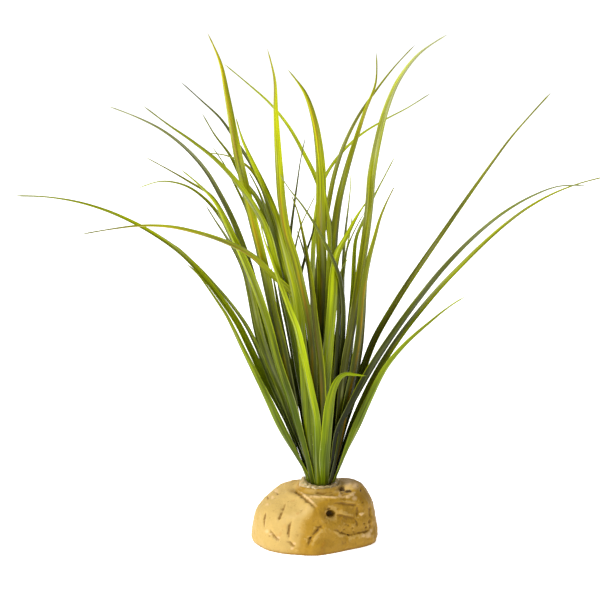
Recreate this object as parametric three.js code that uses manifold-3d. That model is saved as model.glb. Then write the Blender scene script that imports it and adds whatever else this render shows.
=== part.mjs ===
// An artificial turtle grass: a tuft of folded plastic blades set in hot glue on a cast resin rock.
// Sizes are in millimetres, Z is up and the rock stands on z = 0.
// X runs to the right and -Y towards somebody who looks at the tuft's front.
import * as THREE from "three";
import * as BufferGeometryUtils from "three/addons/utils/BufferGeometryUtils.js";
import Module from "manifold-3d";

const degrees = THREE.MathUtils.degToRad;
const { lerp, clamp, smoothstep } = THREE.MathUtils;

// The tuft stands a little right of the rock's middle.
const TUFT_X = 3.3;
const TUFT_Y = 0;

// The rock is a block of flat faces with worn corners, measured out from a point inside it.
const ROCK_CORE = new THREE.Vector3(0, 0, 14);
const ROCK_WEAR = 11;
const ROCK_SIDES = 54;
const ROCK_LOWEST_LOOK = -16;
const ROCK_HIGHEST_LOOK = 68;
const ROCK_LEVELS = 21;
const ROCK_UNDERCUT = 0.975;

// Each face looks out at an azimuth (0 is right, -90 is front) and an elevation, so far from the core.
const ROCK_FACES = [
  { name: "right flank", azimuth: -60, elevation: 3, distance: 29.2 },
  { name: "front left", azimuth: -103, elevation: 3, distance: 32.3 },
  { name: "left corner", azimuth: -144, elevation: 5, distance: 37.2 },
  { name: "left end", azimuth: 178, elevation: 9, distance: 38.9 },
  { name: "right end", azimuth: 0, elevation: 4, distance: 38.0 },
  { name: "back right", azimuth: 46, elevation: 6, distance: 33.5 },
  { name: "back", azimuth: 94, elevation: 8, distance: 30.5 },
  { name: "back left", azimuth: 138, elevation: 6, distance: 35.5 },
  { name: "top", azimuth: 160, elevation: 86, distance: 21.5 },
  { name: "worn left front edge", azimuth: -139, elevation: 56, distance: 25.7 },
  { name: "worn left edge", azimuth: 176, elevation: 60, distance: 24.6 },
  { name: "worn right edge", azimuth: 2, elevation: 38, distance: 36.2 },
  { name: "worn right front edge", azimuth: -50, elevation: 56, distance: 30.6 },
  { name: "worn back edge", azimuth: 84, elevation: 50, distance: 25.9 },
];

// Dents sink into the rock around a point: how wide they reach and how deep they go.
const ROCK_DENTS = [
  { name: "hole beside the tuft", at: [18, -9, 34], reach: 3.0, depth: 5.5 },
  { name: "pit in the right flank", at: [10.5, -26.5, 25], reach: 3.8, depth: 3.4 },
  { name: "chip low on the right end", at: [35, -9, 9], reach: 4.5, depth: 1.4 },
  { name: "chip on the prow", at: [-2, -31, 9], reach: 4.0, depth: 1.2 },
  { name: "hollow in the left end", at: [-37, -8, 18], reach: 8.0, depth: 1.0 },
  { name: "hollow behind", at: [-6, 30, 18], reach: 9.0, depth: 1.6 },
  { name: "pit behind", at: [17, 24, 24], reach: 3.4, depth: 2.6 },
];

// Long ledges step back across the right flank, lower on the right than at the prow.
const ROCK_LEDGES = [
  { height: 31.5, fall: 0.32, depth: 1.0, width: 2.3 },
  { height: 22.0, fall: 0.12, depth: 0.9, width: 2.3 },
  { height: 12.0, fall: 0.05, depth: 1.0, width: 2.4 },
];

// Everywhere else the surface only swells and sinks a little.
const ROCK_SWELL = 0.35;

// A worn gutter runs round the front of the tuft, with a low crest outside it.
const GUTTER_RADIUS = 13.6;
const GUTTER_WIDTH = 4.2;
const GUTTER_DEPTH = 2.4;
const CREST_RADIUS = 20.3;
const CREST_WIDTH = 2.0;
const CREST_HEIGHT = 0.9;

// The glue fills a socket in the rock's top and swells up round the feet of the blades.
const SOCKET_FLOOR = 29;
const SOCKET_CUT_REACH = 40;
const GLUE_GAP = 0.3;
const GLUE_SIDES = 36;
const GLUE_RADIUS = 12.2;
const GLUE_SPREAD = 1.1;
const DISH_RADIUS = 9.4;
const DISH_FLOOR = 36.2;
const GLUE_RIM_HEIGHT = 39.1;
const GLUE_SHOULDER_BELOW = 1.9;
const GLUE_RIM_RINGS = [
  { inwards: 0.3, below: 0.9 },
  { inwards: 0.8, below: 0 },
];
const GLUE_INNER_RIM_BELOW = 0.5;
const GLUE_INNER_RIM_SHARE = 0.75;
const GLUE_LEAN_AZIMUTH = 195;
const GLUE_LUMP = 0.35;

// At the front the glue keeps close to the blades and lies low.
const GLUE_DRAWN_IN = 2.4;
const DISH_DRAWN_IN = 0.6;
const RIM_LOWERED = 1.3;

// The blades stand in rings of slots on the floor of the dish.
const FOOT_HEIGHT = DISH_FLOOR + 0.3;
const FOOT_RINGS = [
  { radius: 1.05, count: 3 },
  { radius: 2.4, count: 6 },
  { radius: 3.75, count: 9 },
  { radius: 5.1, count: 11 },
  { radius: 6.4, count: 12 },
  { radius: 7.7, count: 12 },
];
const FOOT_FILL = 0.8;
const FOOT_SHARE_OF_KNEE = 0.3;
const FOOT_STRETCH_BACK = 1.6;

// A blade is a shallow V, thickest along its middle and sharp at its edges.
const BLADE_THICKNESS = 0.62;
const BLADE_TIP_THICKNESS = 0.3;
const BLADE_FOLD = 0.16;
const BLADE_RINGS = 15;
const WIDTH_GROWN_AT = 0.26;
const FACING_FROM = 0.01;
const FACING_AT = 0.3;
const KNEE_HEIGHT = 110;
const LATEST_KNEE = 0.6;
const TIP_NARROWING = 0.93;
const NARROWING_CURVE = 1.3;
const FOOT_INWARD_LEAN = 0.6;
const FOOT_UPWARD_LEAN = 0.8;

// The tuft's outline was measured by eye from this point in front of it.
const EYE = new THREE.Vector3(-9.6, -974.4, 376);

// Every blade, as it shows from the front: points across and up from near its foot to its tip.
// depth is how far back it lies at the knee and at its tip, show is the share of its width seen
// from the front, and slim is where along its length it starts to narrow.
const BLADES = [
  {
    tone: "green", width: 4.6, show: 0.85, slim: 0.15, depth: [-4, -20],
    path: [
      [-20.5, 70], [-30, 91], [-38, 108], [-46, 125], [-53.5, 141], [-62.5, 155], [-70, 166],
      [-78, 174],
    ],
  },
  {
    tone: "green", width: 4.6, show: 0.8, slim: 0.28, depth: [5, -30],
    path: [
      [-18, 75], [-32.3, 105], [-48.5, 139], [-62, 158.5], [-76, 175.5], [-90, 187],
      [-110, 199], [-135, 209], [-160, 213.6], [-179, 214.3],
    ],
  },
  {
    tone: "olive", width: 4.2, show: 0.75, slim: 0.3, depth: [8, 20],
    path: [
      [-14.5, 73.5], [-20.5, 87], [-27.3, 102], [-34, 119], [-41, 134], [-50, 147.5],
      [-60, 160], [-70, 171.5], [-84, 185],
    ],
  },
  {
    tone: "lime", width: 4.8, show: 0.7, slim: 0.45, depth: [-7, -52],
    path: [
      [5.3, 108], [3.5, 127], [-3, 141.5], [-13, 155.5], [-24, 165.5], [-38, 178.5],
      [-55, 187], [-75, 193.2], [-95, 196.3], [-118, 194.5], [-140, 190.8],
    ],
  },
  {
    tone: "green", width: 4.6, show: 0.6, slim: 0.55, depth: [3, 8],
    path: [
      [-24, 108], [-29.5, 125], [-35, 147], [-41, 168], [-48, 184], [-55, 198],
      [-62, 208], [-70, 216], [-78, 220.5], [-90, 223], [-106, 218.5],
    ],
  },
  {
    tone: "olive", width: 4.6, show: 0.6, slim: 0.55, depth: [9, 24],
    path: [
      [-25, 112], [-32, 136], [-38, 158], [-44, 177], [-50, 191.5], [-57, 206],
      [-66, 218], [-75, 222.5], [-87, 229.7], [-101, 237.5],
    ],
  },
  {
    tone: "lime", width: 5.0, show: 0.8, slim: 0.6, depth: [-10, -22],
    path: [
      [-18, 95], [-23, 110], [-26.5, 125], [-30.5, 140], [-34, 152], [-43, 175],
      [-54.5, 200], [-61, 212], [-70, 221.5], [-80.5, 230.5],
    ],
  },
  {
    tone: "pale", width: 4.6, show: 0.8, slim: 0.5, depth: [16, 30],
    path: [
      [-22, 92], [-30, 111], [-36, 133], [-39.5, 152], [-44, 171], [-51.5, 186], [-60, 199.5],
      [-66, 209.5],
    ],
  },
  {
    tone: "pale", width: 4.8, show: 0.7, slim: 0.5, depth: [14, 46],
    path: [
      [-23, 106], [-30, 131], [-35, 151], [-41, 174.5], [-48, 195], [-55, 210.5],
      [-65, 228.5], [-75, 240.5], [-88, 251.5], [-104, 260.2], [-122, 267.3],
    ],
  },
  {
    tone: "green", width: 5.0, show: 0.72, slim: 0.55, depth: [-3, -38],
    path: [
      [-10.5, 112], [-14, 136], [-18, 153], [-22, 168], [-26, 184], [-30.5, 197.5],
      [-38.5, 211], [-50, 226.5], [-65, 241], [-82, 253], [-101, 267.5],
    ],
  },
  {
    tone: "green", width: 4.2, show: 0.6, slim: 0.6, depth: [4, 16],
    path: [
      [-20, 110], [-25, 133], [-29, 152], [-33, 172], [-36.5, 188], [-41, 205],
      [-47.5, 219.5], [-54, 232.5], [-61.5, 244],
    ],
  },
  {
    tone: "olive", width: 4.8, show: 0.7, slim: 0.55, depth: [9, 42],
    path: [
      [-11, 124], [-15, 147], [-18.5, 166], [-22, 182], [-25.5, 197], [-29.5, 211],
      [-36.5, 227], [-45, 235], [-56, 239], [-66, 240],
    ],
  },
  {
    tone: "green", width: 4.6, show: 0.7, slim: 0.6, depth: [16, 54],
    path: [
      [-15, 128], [-19.5, 150], [-23, 171], [-27, 190], [-32, 207], [-38, 217],
      [-45.5, 227], [-52.5, 241.5], [-60, 251], [-67, 263.5],
    ],
  },
  {
    tone: "dark", width: 4.6, show: 0.65, slim: 0.55, depth: [12, 62],
    path: [
      [-11, 130], [-15.5, 155], [-19.5, 173], [-24, 192], [-29, 212], [-36, 229],
      [-45, 243.5], [-56, 260], [-67, 270.5], [-79, 281.5],
    ],
  },
  {
    tone: "lime", width: 5.4, show: 0.86, slim: 0.72, depth: [-9, -14],
    path: [
      [-11.8, 75], [-16.7, 100], [-21.3, 125], [-26, 145], [-30, 168], [-34, 185], [-37.5, 200],
      [-42, 220], [-46.3, 240], [-49.7, 260], [-53.5, 282], [-57.5, 299], [-63, 310],
    ],
  },
  {
    tone: "green", width: 4.6, show: 0.7, slim: 0.5, depth: [10, 36],
    path: [
      [7, 120], [8.5, 150], [9, 175], [7.3, 198], [1.5, 221], [-5, 235],
      [-12.5, 249.5], [-22, 263.5], [-35, 276], [-54, 292],
    ],
  },
  {
    tone: "lime", width: 5.0, show: 0.84, slim: 0.7, depth: [-12, -26],
    path: [
      [-2.5, 100], [-3.5, 122], [-6.2, 141], [-9.5, 157], [-13.5, 175], [-18, 190],
      [-21, 207], [-23, 235], [-24.4, 265], [-25.5, 289], [-29, 301],
    ],
  },
  {
    tone: "lime", width: 5.6, show: 0.92, slim: 0.72, depth: [-7, -34],
    path: [
      [4, 100], [4.8, 130], [5, 155], [4.5, 178], [3.4, 198], [3.8, 215], [2.9, 235],
      [0.8, 252.5], [-3, 267], [-8.5, 279.3], [-16.5, 289],
    ],
  },
  {
    tone: "green", width: 5.4, show: 0.9, slim: 0.6, depth: [-15, 20],
    path: [
      [-3, 60], [-4.6, 88], [-6, 110], [-8.2, 130], [-10.8, 150], [-16, 170], [-20, 185],
      [-24, 200], [-29, 214], [-37, 232], [-44, 248], [-48, 262],
    ],
  },
  {
    tone: "dark", width: 3.8, show: 0.6, slim: 0.5, depth: [3, 24],
    path: [
      [-9, 110], [-12, 138], [-15, 160], [-16.2, 180], [-14.7, 198], [-12.3, 215], [-9.6, 234],
      [-6.4, 249.5],
    ],
  },
  {
    tone: "dark", width: 4.0, show: 0.6, slim: 0.5, depth: [-4, -66],
    path: [
      [12.5, 100], [14.5, 122], [14.5, 145], [12.5, 162], [8.5, 174], [3.5, 185],
      [-2, 195.5], [-9, 207], [-16.5, 216.5], [-23.5, 227.5],
    ],
  },
  {
    tone: "pale", width: 4.6, show: 0.8, slim: 0.6, depth: [-7, -6],
    path: [
      [-8, 108], [-10.5, 128], [-13.3, 147], [-18.5, 165], [-23, 182.5], [-28, 198], [-33, 214],
      [-41, 230],
    ],
  },
  {
    tone: "pale", width: 4.8, show: 0.85, slim: 0.6, depth: [-5, 4],
    path: [
      [-20, 92], [-27, 109], [-33, 127], [-37, 145], [-39.5, 157], [-44, 173],
      [-49.5, 186], [-54, 195], [-59, 206],
    ],
  },
  {
    tone: "lime", width: 4.6, show: 0.75, slim: 0.5, depth: [-18, -34],
    path: [
      [0, 76], [-3, 92], [-6, 107], [-9, 122], [-12.5, 136], [-17.5, 149],
      [-21.8, 161.5], [-26, 174], [-31, 188], [-33.5, 199],
    ],
  },
  {
    tone: "green", width: 4.6, show: 0.75, slim: 0.55, depth: [-14, 2],
    path: [
      [2, 95], [0.3, 115], [-1.7, 128], [-3.5, 140], [-5, 156], [-7, 174],
      [-9, 186], [-11.3, 199], [-13.5, 207.5], [-17, 217],
    ],
  },
  {
    tone: "olive", width: 3.8, show: 0.5, slim: 0.4, depth: [7, -28],
    path: [
      [-10, 112], [-13, 138], [-14.3, 160], [-12.5, 179], [-10, 192.5], [-6.5, 201.5], [-2, 211],
      [0.5, 216],
    ],
  },
  {
    tone: "olive", width: 4.0, show: 0.6, slim: 0.5, depth: [13, 4],
    path: [
      [-8.5, 115], [-11, 140], [-11.5, 158], [-9.5, 168], [-7, 178.5], [-3.8, 188],
      [-1.5, 198], [0.5, 207], [1.5, 213],
    ],
  },
  {
    tone: "dark", width: 4.4, show: 0.65, slim: 0.55, depth: [5, 48],
    path: [
      [3, 75], [1.5, 110], [0.7, 147], [1.7, 172], [4.3, 192], [7, 207], [9, 219],
      [13, 235], [18, 248.5], [26, 264], [35, 277], [45, 290], [57, 303],
    ],
  },
  {
    tone: "lime", width: 5.0, show: 0.8, slim: 0.6, depth: [-5, -12],
    path: [
      [7.5, 100], [8, 130], [8.8, 160], [10.2, 188], [12.3, 208], [15.3, 220], [19.5, 237.5],
      [25, 254], [30, 270], [34, 280], [35.7, 290], [34.5, 298.5],
    ],
  },
  {
    tone: "straw", width: 5.4, show: 0.8, slim: 0.66, depth: [-1, -36],
    path: [
      [14, 75], [18, 110], [22.6, 138], [25.3, 158], [29.5, 188], [31.3, 203], [32.1, 215],
      [33.4, 230], [36, 245], [38.8, 259], [43.5, 272], [48.5, 283.5], [57.5, 295.8], [76, 309],
    ],
  },
  {
    tone: "green", width: 4.4, show: 0.6, slim: 0.45, depth: [17, 78],
    path: [
      [-1, 120], [-1.5, 150], [-1.5, 175], [0, 200], [2, 214], [6.5, 228],
      [14, 238.5], [25, 249.5], [38, 258], [52, 265.5], [67, 275],
    ],
  },
  {
    tone: "pale", width: 4.0, show: 0.6, slim: 0.5, depth: [9, 34],
    path: [
      [13, 100], [14.8, 125], [15.7, 150], [16.2, 175], [17.3, 192], [18.8, 206],
      [19.8, 215], [20.5, 230],
    ],
  },
  {
    tone: "green", width: 4.4, show: 0.7, slim: 0.45, depth: [3, 26],
    path: [
      [15, 100], [18, 125], [20.5, 148], [21.8, 168], [22.3, 183], [24.5, 193],
      [28.3, 201], [33, 212], [38, 222.5], [42, 229.5], [46, 238],
    ],
  },
  {
    tone: "lime", width: 5.0, show: 0.75, slim: 0.5, depth: [-6, -48],
    path: [
      [15, 75], [21, 105], [25, 130], [27.2, 153], [29.2, 167], [32, 180], [35, 191],
      [38, 202], [41.2, 210], [46.5, 221],
    ],
  },
  {
    tone: "lime", width: 5.6, show: 0.95, slim: 0.6, depth: [-13, -9],
    path: [
      [5, 80], [6.8, 105], [8.5, 120], [10.5, 140], [12, 155], [12.7, 168], [14.5, 179],
      [18.5, 187.5], [22, 194], [26.5, 203], [33, 213],
    ],
  },
  {
    tone: "olive", width: 4.0, show: 0.6, slim: 0.5, depth: [2, 6],
    path: [[11, 100], [14, 130], [15.8, 155], [17, 171], [18.8, 182], [22, 191], [25.5, 198], [29, 204.5]],
  },
  {
    tone: "dark", width: 4.2, show: 0.7, slim: 0.6, depth: [4, -4],
    path: [[15, 70], [22, 95], [26.5, 118], [28.7, 140], [29.7, 155], [30.7, 167], [33.5, 180]],
  },
  {
    tone: "dark", width: 4.4, show: 0.85, slim: 0.25, depth: [8, 34],
    path: [
      [17.5, 75], [22, 90], [26, 103], [32, 120.5], [38, 133.5], [45, 145.5], [55, 162],
      [70, 184.5], [85, 207], [100, 229], [115, 250], [137, 275.5],
    ],
  },
  {
    tone: "dark", width: 4.6, show: 0.8, slim: 0.3, depth: [-3, -16],
    path: [
      [14.8, 71], [20.5, 82.5], [26, 94], [33, 107.5], [42, 122.5], [52, 138], [66, 157.5],
      [80, 175], [95, 190.5], [110, 203.3], [130, 215.2], [145, 220.3], [160, 220.5],
    ],
  },
  {
    tone: "olive", width: 4.5, show: 0.75, slim: 0.3, depth: [3, 14],
    path: [
      [21, 70], [29.7, 90], [38.5, 108], [50, 127], [61, 142], [73, 157], [90, 175.5],
      [110, 195], [130, 210], [150, 219.8], [172, 226],
    ],
  },
  {
    tone: "green", width: 4.6, show: 0.85, slim: 0.2, depth: [-6, -28],
    path: [[24, 70], [33, 91], [42, 109], [54, 124], [67.5, 136.5], [80, 147], [90, 153.5]],
  },
  {
    tone: "lime", width: 4.7, show: 0.95, slim: 0.56, depth: [-18, -20],
    rings: 22,
    path: [
      [5.2, 50], [6.4, 65], [7.1, 75], [8, 85], [8.9, 90], [10.3, 95], [12.2, 99.5], [14.2, 102.5],
      [16.5, 104.5], [19, 105.2], [22, 104.8], [25, 104.3], [31.3, 103.8],
    ],
  },
  {
    tone: "lime", width: 4.4, show: 0.8, slim: 0.55, depth: [-9, -22],
    path: [[6, 105], [6.8, 135], [7.6, 160], [8, 182], [7.6, 199], [6, 210], [4.5, 222], [4, 232]],
  },
  {
    tone: "dark", width: 4.0, show: 0.7, slim: 0.5, depth: [4, 14],
    path: [[14, 110], [14.5, 135], [14, 155], [13, 170], [11.5, 184], [9.5, 196], [8.5, 203]],
  },
  {
    tone: "olive", width: 4.0, show: 0.6, slim: 0.5, depth: [-2, -14],
    path: [[12.5, 105], [14.5, 130], [15.5, 152], [16.2, 166], [18.5, 174.8], [21.7, 177.8]],
  },
  {
    tone: "dark", width: 4.2, show: 0.7, slim: 0.5, depth: [6, 22],
    path: [[-5.5, 100], [-8.5, 130], [-11.5, 155], [-14, 172], [-17, 186], [-19.5, 196]],
  },
  {
    tone: "dark", width: 4.4, show: 0.7, slim: 0.5, depth: [9, 24],
    path: [[1, 100], [2, 130], [2.5, 160], [2.2, 180], [1.5, 196], [0.5, 208]],
  },
  {
    tone: "green", width: 4.0, show: 0.6, slim: 0.5, depth: [13, 48],
    path: [[10, 95], [13, 125], [15.5, 150], [17.5, 172], [19.3, 186], [20.8, 194], [21.7, 204]],
  },
  {
    tone: "dark", width: 4.6, show: 0.75, slim: 0.5, depth: [25, 84],
    path: [[4, 90], [3, 120], [-1, 150], [-6, 175], [-12, 195]],
  },
  {
    tone: "dark", width: 4.6, show: 0.75, slim: 0.5, depth: [19, 74],
    path: [[5, 90], [8, 120], [12, 150], [16, 170], [19, 183]],
  },
  {
    tone: "dark", width: 4.6, show: 0.75, slim: 0.5, depth: [23, 62],
    path: [[-8, 80], [-17, 112], [-21, 135], [-24, 155], [-27, 172]],
  },
  {
    tone: "green", width: 4.6, show: 0.75, slim: 0.5, depth: [20, 64],
    path: [[12, 80], [19, 112], [22, 135], [24, 155], [25, 172]],
  },
  {
    tone: "dark", width: 4.6, show: 0.7, slim: 0.5, depth: [6, 30],
    path: [[4, 90], [5, 120], [6, 145], [6.5, 165], [6, 182], [5, 194]],
  },
];

const TONES = {
  lime: 0xa3b51e,
  green: 0x6f8a1c,
  olive: 0x77772a,
  dark: 0x333a12,
  pale: 0xa9b88a,
  straw: 0xb4b862,
};

// A settled blade keeps its neighbours off: round pearls strung along it may not touch theirs.
const PEARLS_ACROSS = 5;
const PEARL_STEP = 2;
const PEARL_STEP_AT_FOOT = 1;
const CROWDED_RINGS = 3;
const PEARL_RADIUS_AT_FOOT = 0.62;
const PEARL_RADIUS = 0.95;
const EDGE_PEARL_LESS = 0.35;
const SETTLING_ROUNDS = 200;
const CROWDED_HEIGHT = 40;
const FREE_HEIGHT = 90;
const SIDEWAYS_SHARE = 0.2;
const LEAST_DISTANCE = 0.05;
const BLADE_STIFFNESS = 0.2;
const FARTHEST_MOVE = 0.14;

const tidy = (geometry) => BufferGeometryUtils.mergeVertices(geometry, 1e-5);

// Rings of points, run anticlockwise about the way they are stacked, make a solid closed by two end points.
// Thin walls are folded outwards in every cell, so that the two faces of a twisted blade never cross.
function loft(rings, startPoint, endPoint, hasThinWalls = false) {
  const around = rings[0].length;
  const points = [startPoint, ...rings.flat(), endPoint];
  const endIndex = points.length - 1;
  const indexOf = (ring, side) => 1 + ring * around + (side % around);
  const triangles = [];
  for (let side = 0; side < around; side++) {
    triangles.push(0, indexOf(0, side + 1), indexOf(0, side));
    triangles.push(endIndex, indexOf(rings.length - 1, side), indexOf(rings.length - 1, side + 1));
    for (let ring = 0; ring < rings.length - 1; ring++) {
      const here = indexOf(ring, side);
      const beside = indexOf(ring, side + 1);
      const above = indexOf(ring + 1, side);
      const across = indexOf(ring + 1, side + 1);
      const corners = [here, beside, across, above].map((index) => points[index]);
      const isRidge = foldsOutwards(...corners);
      if (isRidge || !hasThinWalls) triangles.push(here, beside, across, here, across, above);
      else triangles.push(here, beside, above, beside, across, above);
    }
  }
  const geometry = new THREE.BufferGeometry().setFromPoints(points);
  geometry.setIndex(triangles);
  return geometry;
}

// Whether a cell folded along the line from here to across stands out there as a ridge.
function foldsOutwards(here, beside, across, above) {
  const outward = beside.clone().sub(here).cross(across.clone().sub(here));
  return outward.dot(above.clone().sub(here)) <= 0;
}

const wasm = await Module();
wasm.setup();

function toSolid(geometry) {
  const bare = geometry.clone();
  bare.deleteAttribute("normal");
  bare.deleteAttribute("uv");
  const merged = tidy(bare);
  const vertProperties = new Float32Array(merged.attributes.position.array);
  const triVerts = new Uint32Array(merged.index.array);
  return new wasm.Manifold(new wasm.Mesh({ numProp: 3, vertProperties, triVerts }));
}

function toGeometry(solid) {
  const mesh = solid.getMesh();
  const geometry = new THREE.BufferGeometry();
  geometry.setAttribute("position", new THREE.BufferAttribute(mesh.vertProperties, mesh.numProp));
  geometry.setIndex(new THREE.BufferAttribute(mesh.triVerts, 1));
  return geometry;
}

function lookDirection(azimuth, elevation) {
  const level = Math.cos(degrees(elevation));
  const rise = Math.sin(degrees(elevation));
  return new THREE.Vector3(level * Math.cos(degrees(azimuth)), level * Math.sin(degrees(azimuth)), rise);
}

// How far the worn block reaches from its core: near one face only that face counts, and near a
// corner all of its faces count together, which rounds the corner.
function wornReach(direction) {
  let sum = 0;
  for (const face of ROCK_FACES) {
    const facing = direction.dot(lookDirection(face.azimuth, face.elevation));
    if (facing > 0) sum += (facing / face.distance) ** ROCK_WEAR;
  }
  return sum ** (-1 / ROCK_WEAR);
}

const bell = (distance, width) => Math.exp(-((distance / width) ** 2));

// How much the chisel marks and the weather took off at a point of the rock, in millimetres.
function takenOff(point) {
  let depth = 0;
  for (const dent of ROCK_DENTS) {
    depth += dent.depth * bell(point.distanceTo(new THREE.Vector3(...dent.at)), dent.reach);
  }
  const onRightFlank = smoothstep(point.x, -4, 16) * smoothstep(-point.y, 2, 16);
  for (const ledge of ROCK_LEDGES) {
    const above = point.z - (ledge.height - ledge.fall * point.x);
    depth += ledge.depth * onRightFlank * bell(above, ledge.width);
  }
  const fromTuft = Math.hypot(point.x - TUFT_X, point.y - TUFT_Y);
  const atFront = smoothstep(-point.y, -4, 6) * smoothstep(point.z, 26, 31);
  depth += GUTTER_DEPTH * atFront * bell(fromTuft - GUTTER_RADIUS, GUTTER_WIDTH);
  depth -= CREST_HEIGHT * atFront * bell(fromTuft - CREST_RADIUS, CREST_WIDTH);
  const swell = Math.sin(0.31 * point.x + 0.4 * point.z) * Math.cos(0.27 * point.y - 0.2 * point.z);
  return depth + ROCK_SWELL * swell;
}

// The rock's surface where somebody at its core looks along an azimuth and an elevation.
function rockPoint(azimuth, elevation) {
  const direction = lookDirection(azimuth, elevation);
  const reach = wornReach(direction);
  const surface = direction.clone().multiplyScalar(reach).add(ROCK_CORE);
  return surface.addScaledVector(direction, -takenOff(surface));
}

// How much a direction looks to the front: 1 there, and 0 from the sides round the back.
const frontness = (azimuth) => Math.max(0, -Math.sin(degrees(azimuth))) ** 2;

// The glue spread farther on one side and its outline is a little lumpy.
function glueOutline(azimuth, shrink) {
  const spread = GLUE_SPREAD * Math.cos(degrees(azimuth - GLUE_LEAN_AZIMUTH));
  const lump = GLUE_LUMP * Math.sin(degrees(3 * azimuth));
  return GLUE_RADIUS + spread + lump - GLUE_DRAWN_IN * frontness(azimuth) - shrink;
}

// A ring round the tuft's middle, whose radius and height may change with the azimuth.
function ringRoundTuft(sides, radiusAt, heightAt) {
  return Array.from({ length: sides }, (_, side) => {
    const azimuth = (side * 360) / sides;
    const radius = radiusAt(azimuth);
    return new THREE.Vector3(
      TUFT_X + radius * Math.cos(degrees(azimuth)),
      TUFT_Y + radius * Math.sin(degrees(azimuth)),
      heightAt(azimuth),
    );
  });
}

// The block stands on a flat foot that is drawn in a little, and has the glue's socket in its top.
function makeRock() {
  const azimuths = Array.from({ length: ROCK_SIDES }, (_, side) => (side * 360) / ROCK_SIDES);
  const rings = [];
  for (let level = 0; level <= ROCK_LEVELS; level++) {
    const elevation = lerp(ROCK_LOWEST_LOOK, ROCK_HIGHEST_LOOK, level / ROCK_LEVELS);
    rings.push(azimuths.map((azimuth) => rockPoint(azimuth, elevation)));
  }
  const base = rings[0].map(({ x, y }) => new THREE.Vector3(x * ROCK_UNDERCUT, y * ROCK_UNDERCUT, 0));
  const inner = base.map(({ x, y }) => new THREE.Vector3(x / 2, y / 2, 0));
  const block = toSolid(loft([inner, base, ...rings], new THREE.Vector3(0, 0, 0), rockPoint(0, 90)));

  const above = ROCK_CORE.z + SOCKET_CUT_REACH;
  const socketRings = [SOCKET_FLOOR, above].map((height) =>
    ringRoundTuft(GLUE_SIDES, (azimuth) => glueOutline(azimuth, 0), () => height),
  );
  const floorPoint = new THREE.Vector3(TUFT_X, TUFT_Y, SOCKET_FLOOR);
  const socket = toSolid(loft(socketRings, floorPoint, new THREE.Vector3(TUFT_X, TUFT_Y, above)));
  return toGeometry(block.subtract(socket));
}

// The glue fills the socket and stands up in a low lumpy rim round the dish that holds the blades.
function makeGlue() {
  const rimHeight = (azimuth, below) => {
    const lump = 0.5 * Math.sin(degrees(2 * azimuth + 40)) + 0.3 * Math.sin(degrees(5 * azimuth));
    return GLUE_RIM_HEIGHT + lump - RIM_LOWERED * frontness(azimuth) - below;
  };
  const outside = (azimuth) => glueOutline(azimuth, GLUE_GAP);
  const dish = (azimuth) => DISH_RADIUS - DISH_DRAWN_IN * frontness(azimuth);
  const rimTop = (azimuth) => outside(azimuth) - GLUE_RIM_RINGS.at(-1).inwards;
  const innerRim = (azimuth) => lerp(dish(azimuth), rimTop(azimuth), GLUE_INNER_RIM_SHARE);
  const level = (height) => () => height;
  const rings = [
    ringRoundTuft(GLUE_SIDES, outside, level(SOCKET_FLOOR + GLUE_GAP)),
    ringRoundTuft(GLUE_SIDES, outside, (azimuth) => rimHeight(azimuth, GLUE_SHOULDER_BELOW)),
    ...GLUE_RIM_RINGS.map(({ inwards, below }) =>
      ringRoundTuft(
        GLUE_SIDES,
        (azimuth) => outside(azimuth) - inwards,
        (azimuth) => rimHeight(azimuth, below),
      ),
    ),
    ringRoundTuft(GLUE_SIDES, innerRim, (azimuth) => rimHeight(azimuth, GLUE_INNER_RIM_BELOW)),
    ringRoundTuft(GLUE_SIDES, dish, level(DISH_FLOOR)),
  ];
  const under = new THREE.Vector3(TUFT_X, TUFT_Y, SOCKET_FLOOR + GLUE_GAP);
  return loft(rings, under, new THREE.Vector3(TUFT_X, TUFT_Y, DISH_FLOOR));
}

// A point seen from the front at this place, and lying this far back, is on the line of sight.
function alongSight([across, up], depth) {
  const reach = (depth - EYE.y) / -EYE.y;
  return new THREE.Vector3(EYE.x + (across - EYE.x) * reach, depth, EYE.z + (up - EYE.z) * reach);
}

function footSlots() {
  return FOOT_RINGS.flatMap(({ radius, count }, ring) =>
    Array.from({ length: count }, (_, place) => {
      const azimuth = degrees(-90 + (360 * (place + (ring % 2) / 2)) / count);
      const outward = new THREE.Vector3(Math.cos(azimuth), Math.sin(azimuth), 0);
      const foot = new THREE.Vector3(TUFT_X, TUFT_Y, FOOT_HEIGHT).addScaledVector(outward, radius);
      return { foot, outward, footWidth: (FOOT_FILL * 2 * Math.PI * radius) / count };
    }),
  );
}

// Where a blade passes its knee, from which its slot in the foot is found.
function kneeOf(row) {
  const above = row.path.findIndex(([, up]) => up >= KNEE_HEIGHT);
  const point = above < 0 ? row.path[0] : row.path[above];
  return alongSight(point, row.depth[0]);
}

// Two blades trade slots as long as that brings their feet nearer to below their knees.
function shareOutSlots(rows) {
  const slots = footSlots();
  const knees = rows.map(kneeOf);
  const cost = (row, slot) => {
    const x = TUFT_X + (knees[row].x - TUFT_X) * FOOT_SHARE_OF_KNEE;
    const y = TUFT_Y + (knees[row].y - TUFT_Y) * FOOT_SHARE_OF_KNEE * FOOT_STRETCH_BACK;
    return (slots[slot].foot.x - x) ** 2 + (slots[slot].foot.y - y) ** 2;
  };
  const slotOf = rows.map((_, row) => row);
  let traded = true;
  while (traded) {
    traded = false;
    for (let a = 0; a < rows.length; a++) {
      for (let b = a + 1; b < rows.length; b++) {
        const kept = cost(a, slotOf[a]) + cost(b, slotOf[b]);
        const swapped = cost(a, slotOf[b]) + cost(b, slotOf[a]);
        if (swapped < kept - 1e-9) {
          [slotOf[a], slotOf[b]] = [slotOf[b], slotOf[a]];
          traded = true;
        }
      }
    }
  }
  return slotOf.map((slot) => slots[slot]);
}

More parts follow.
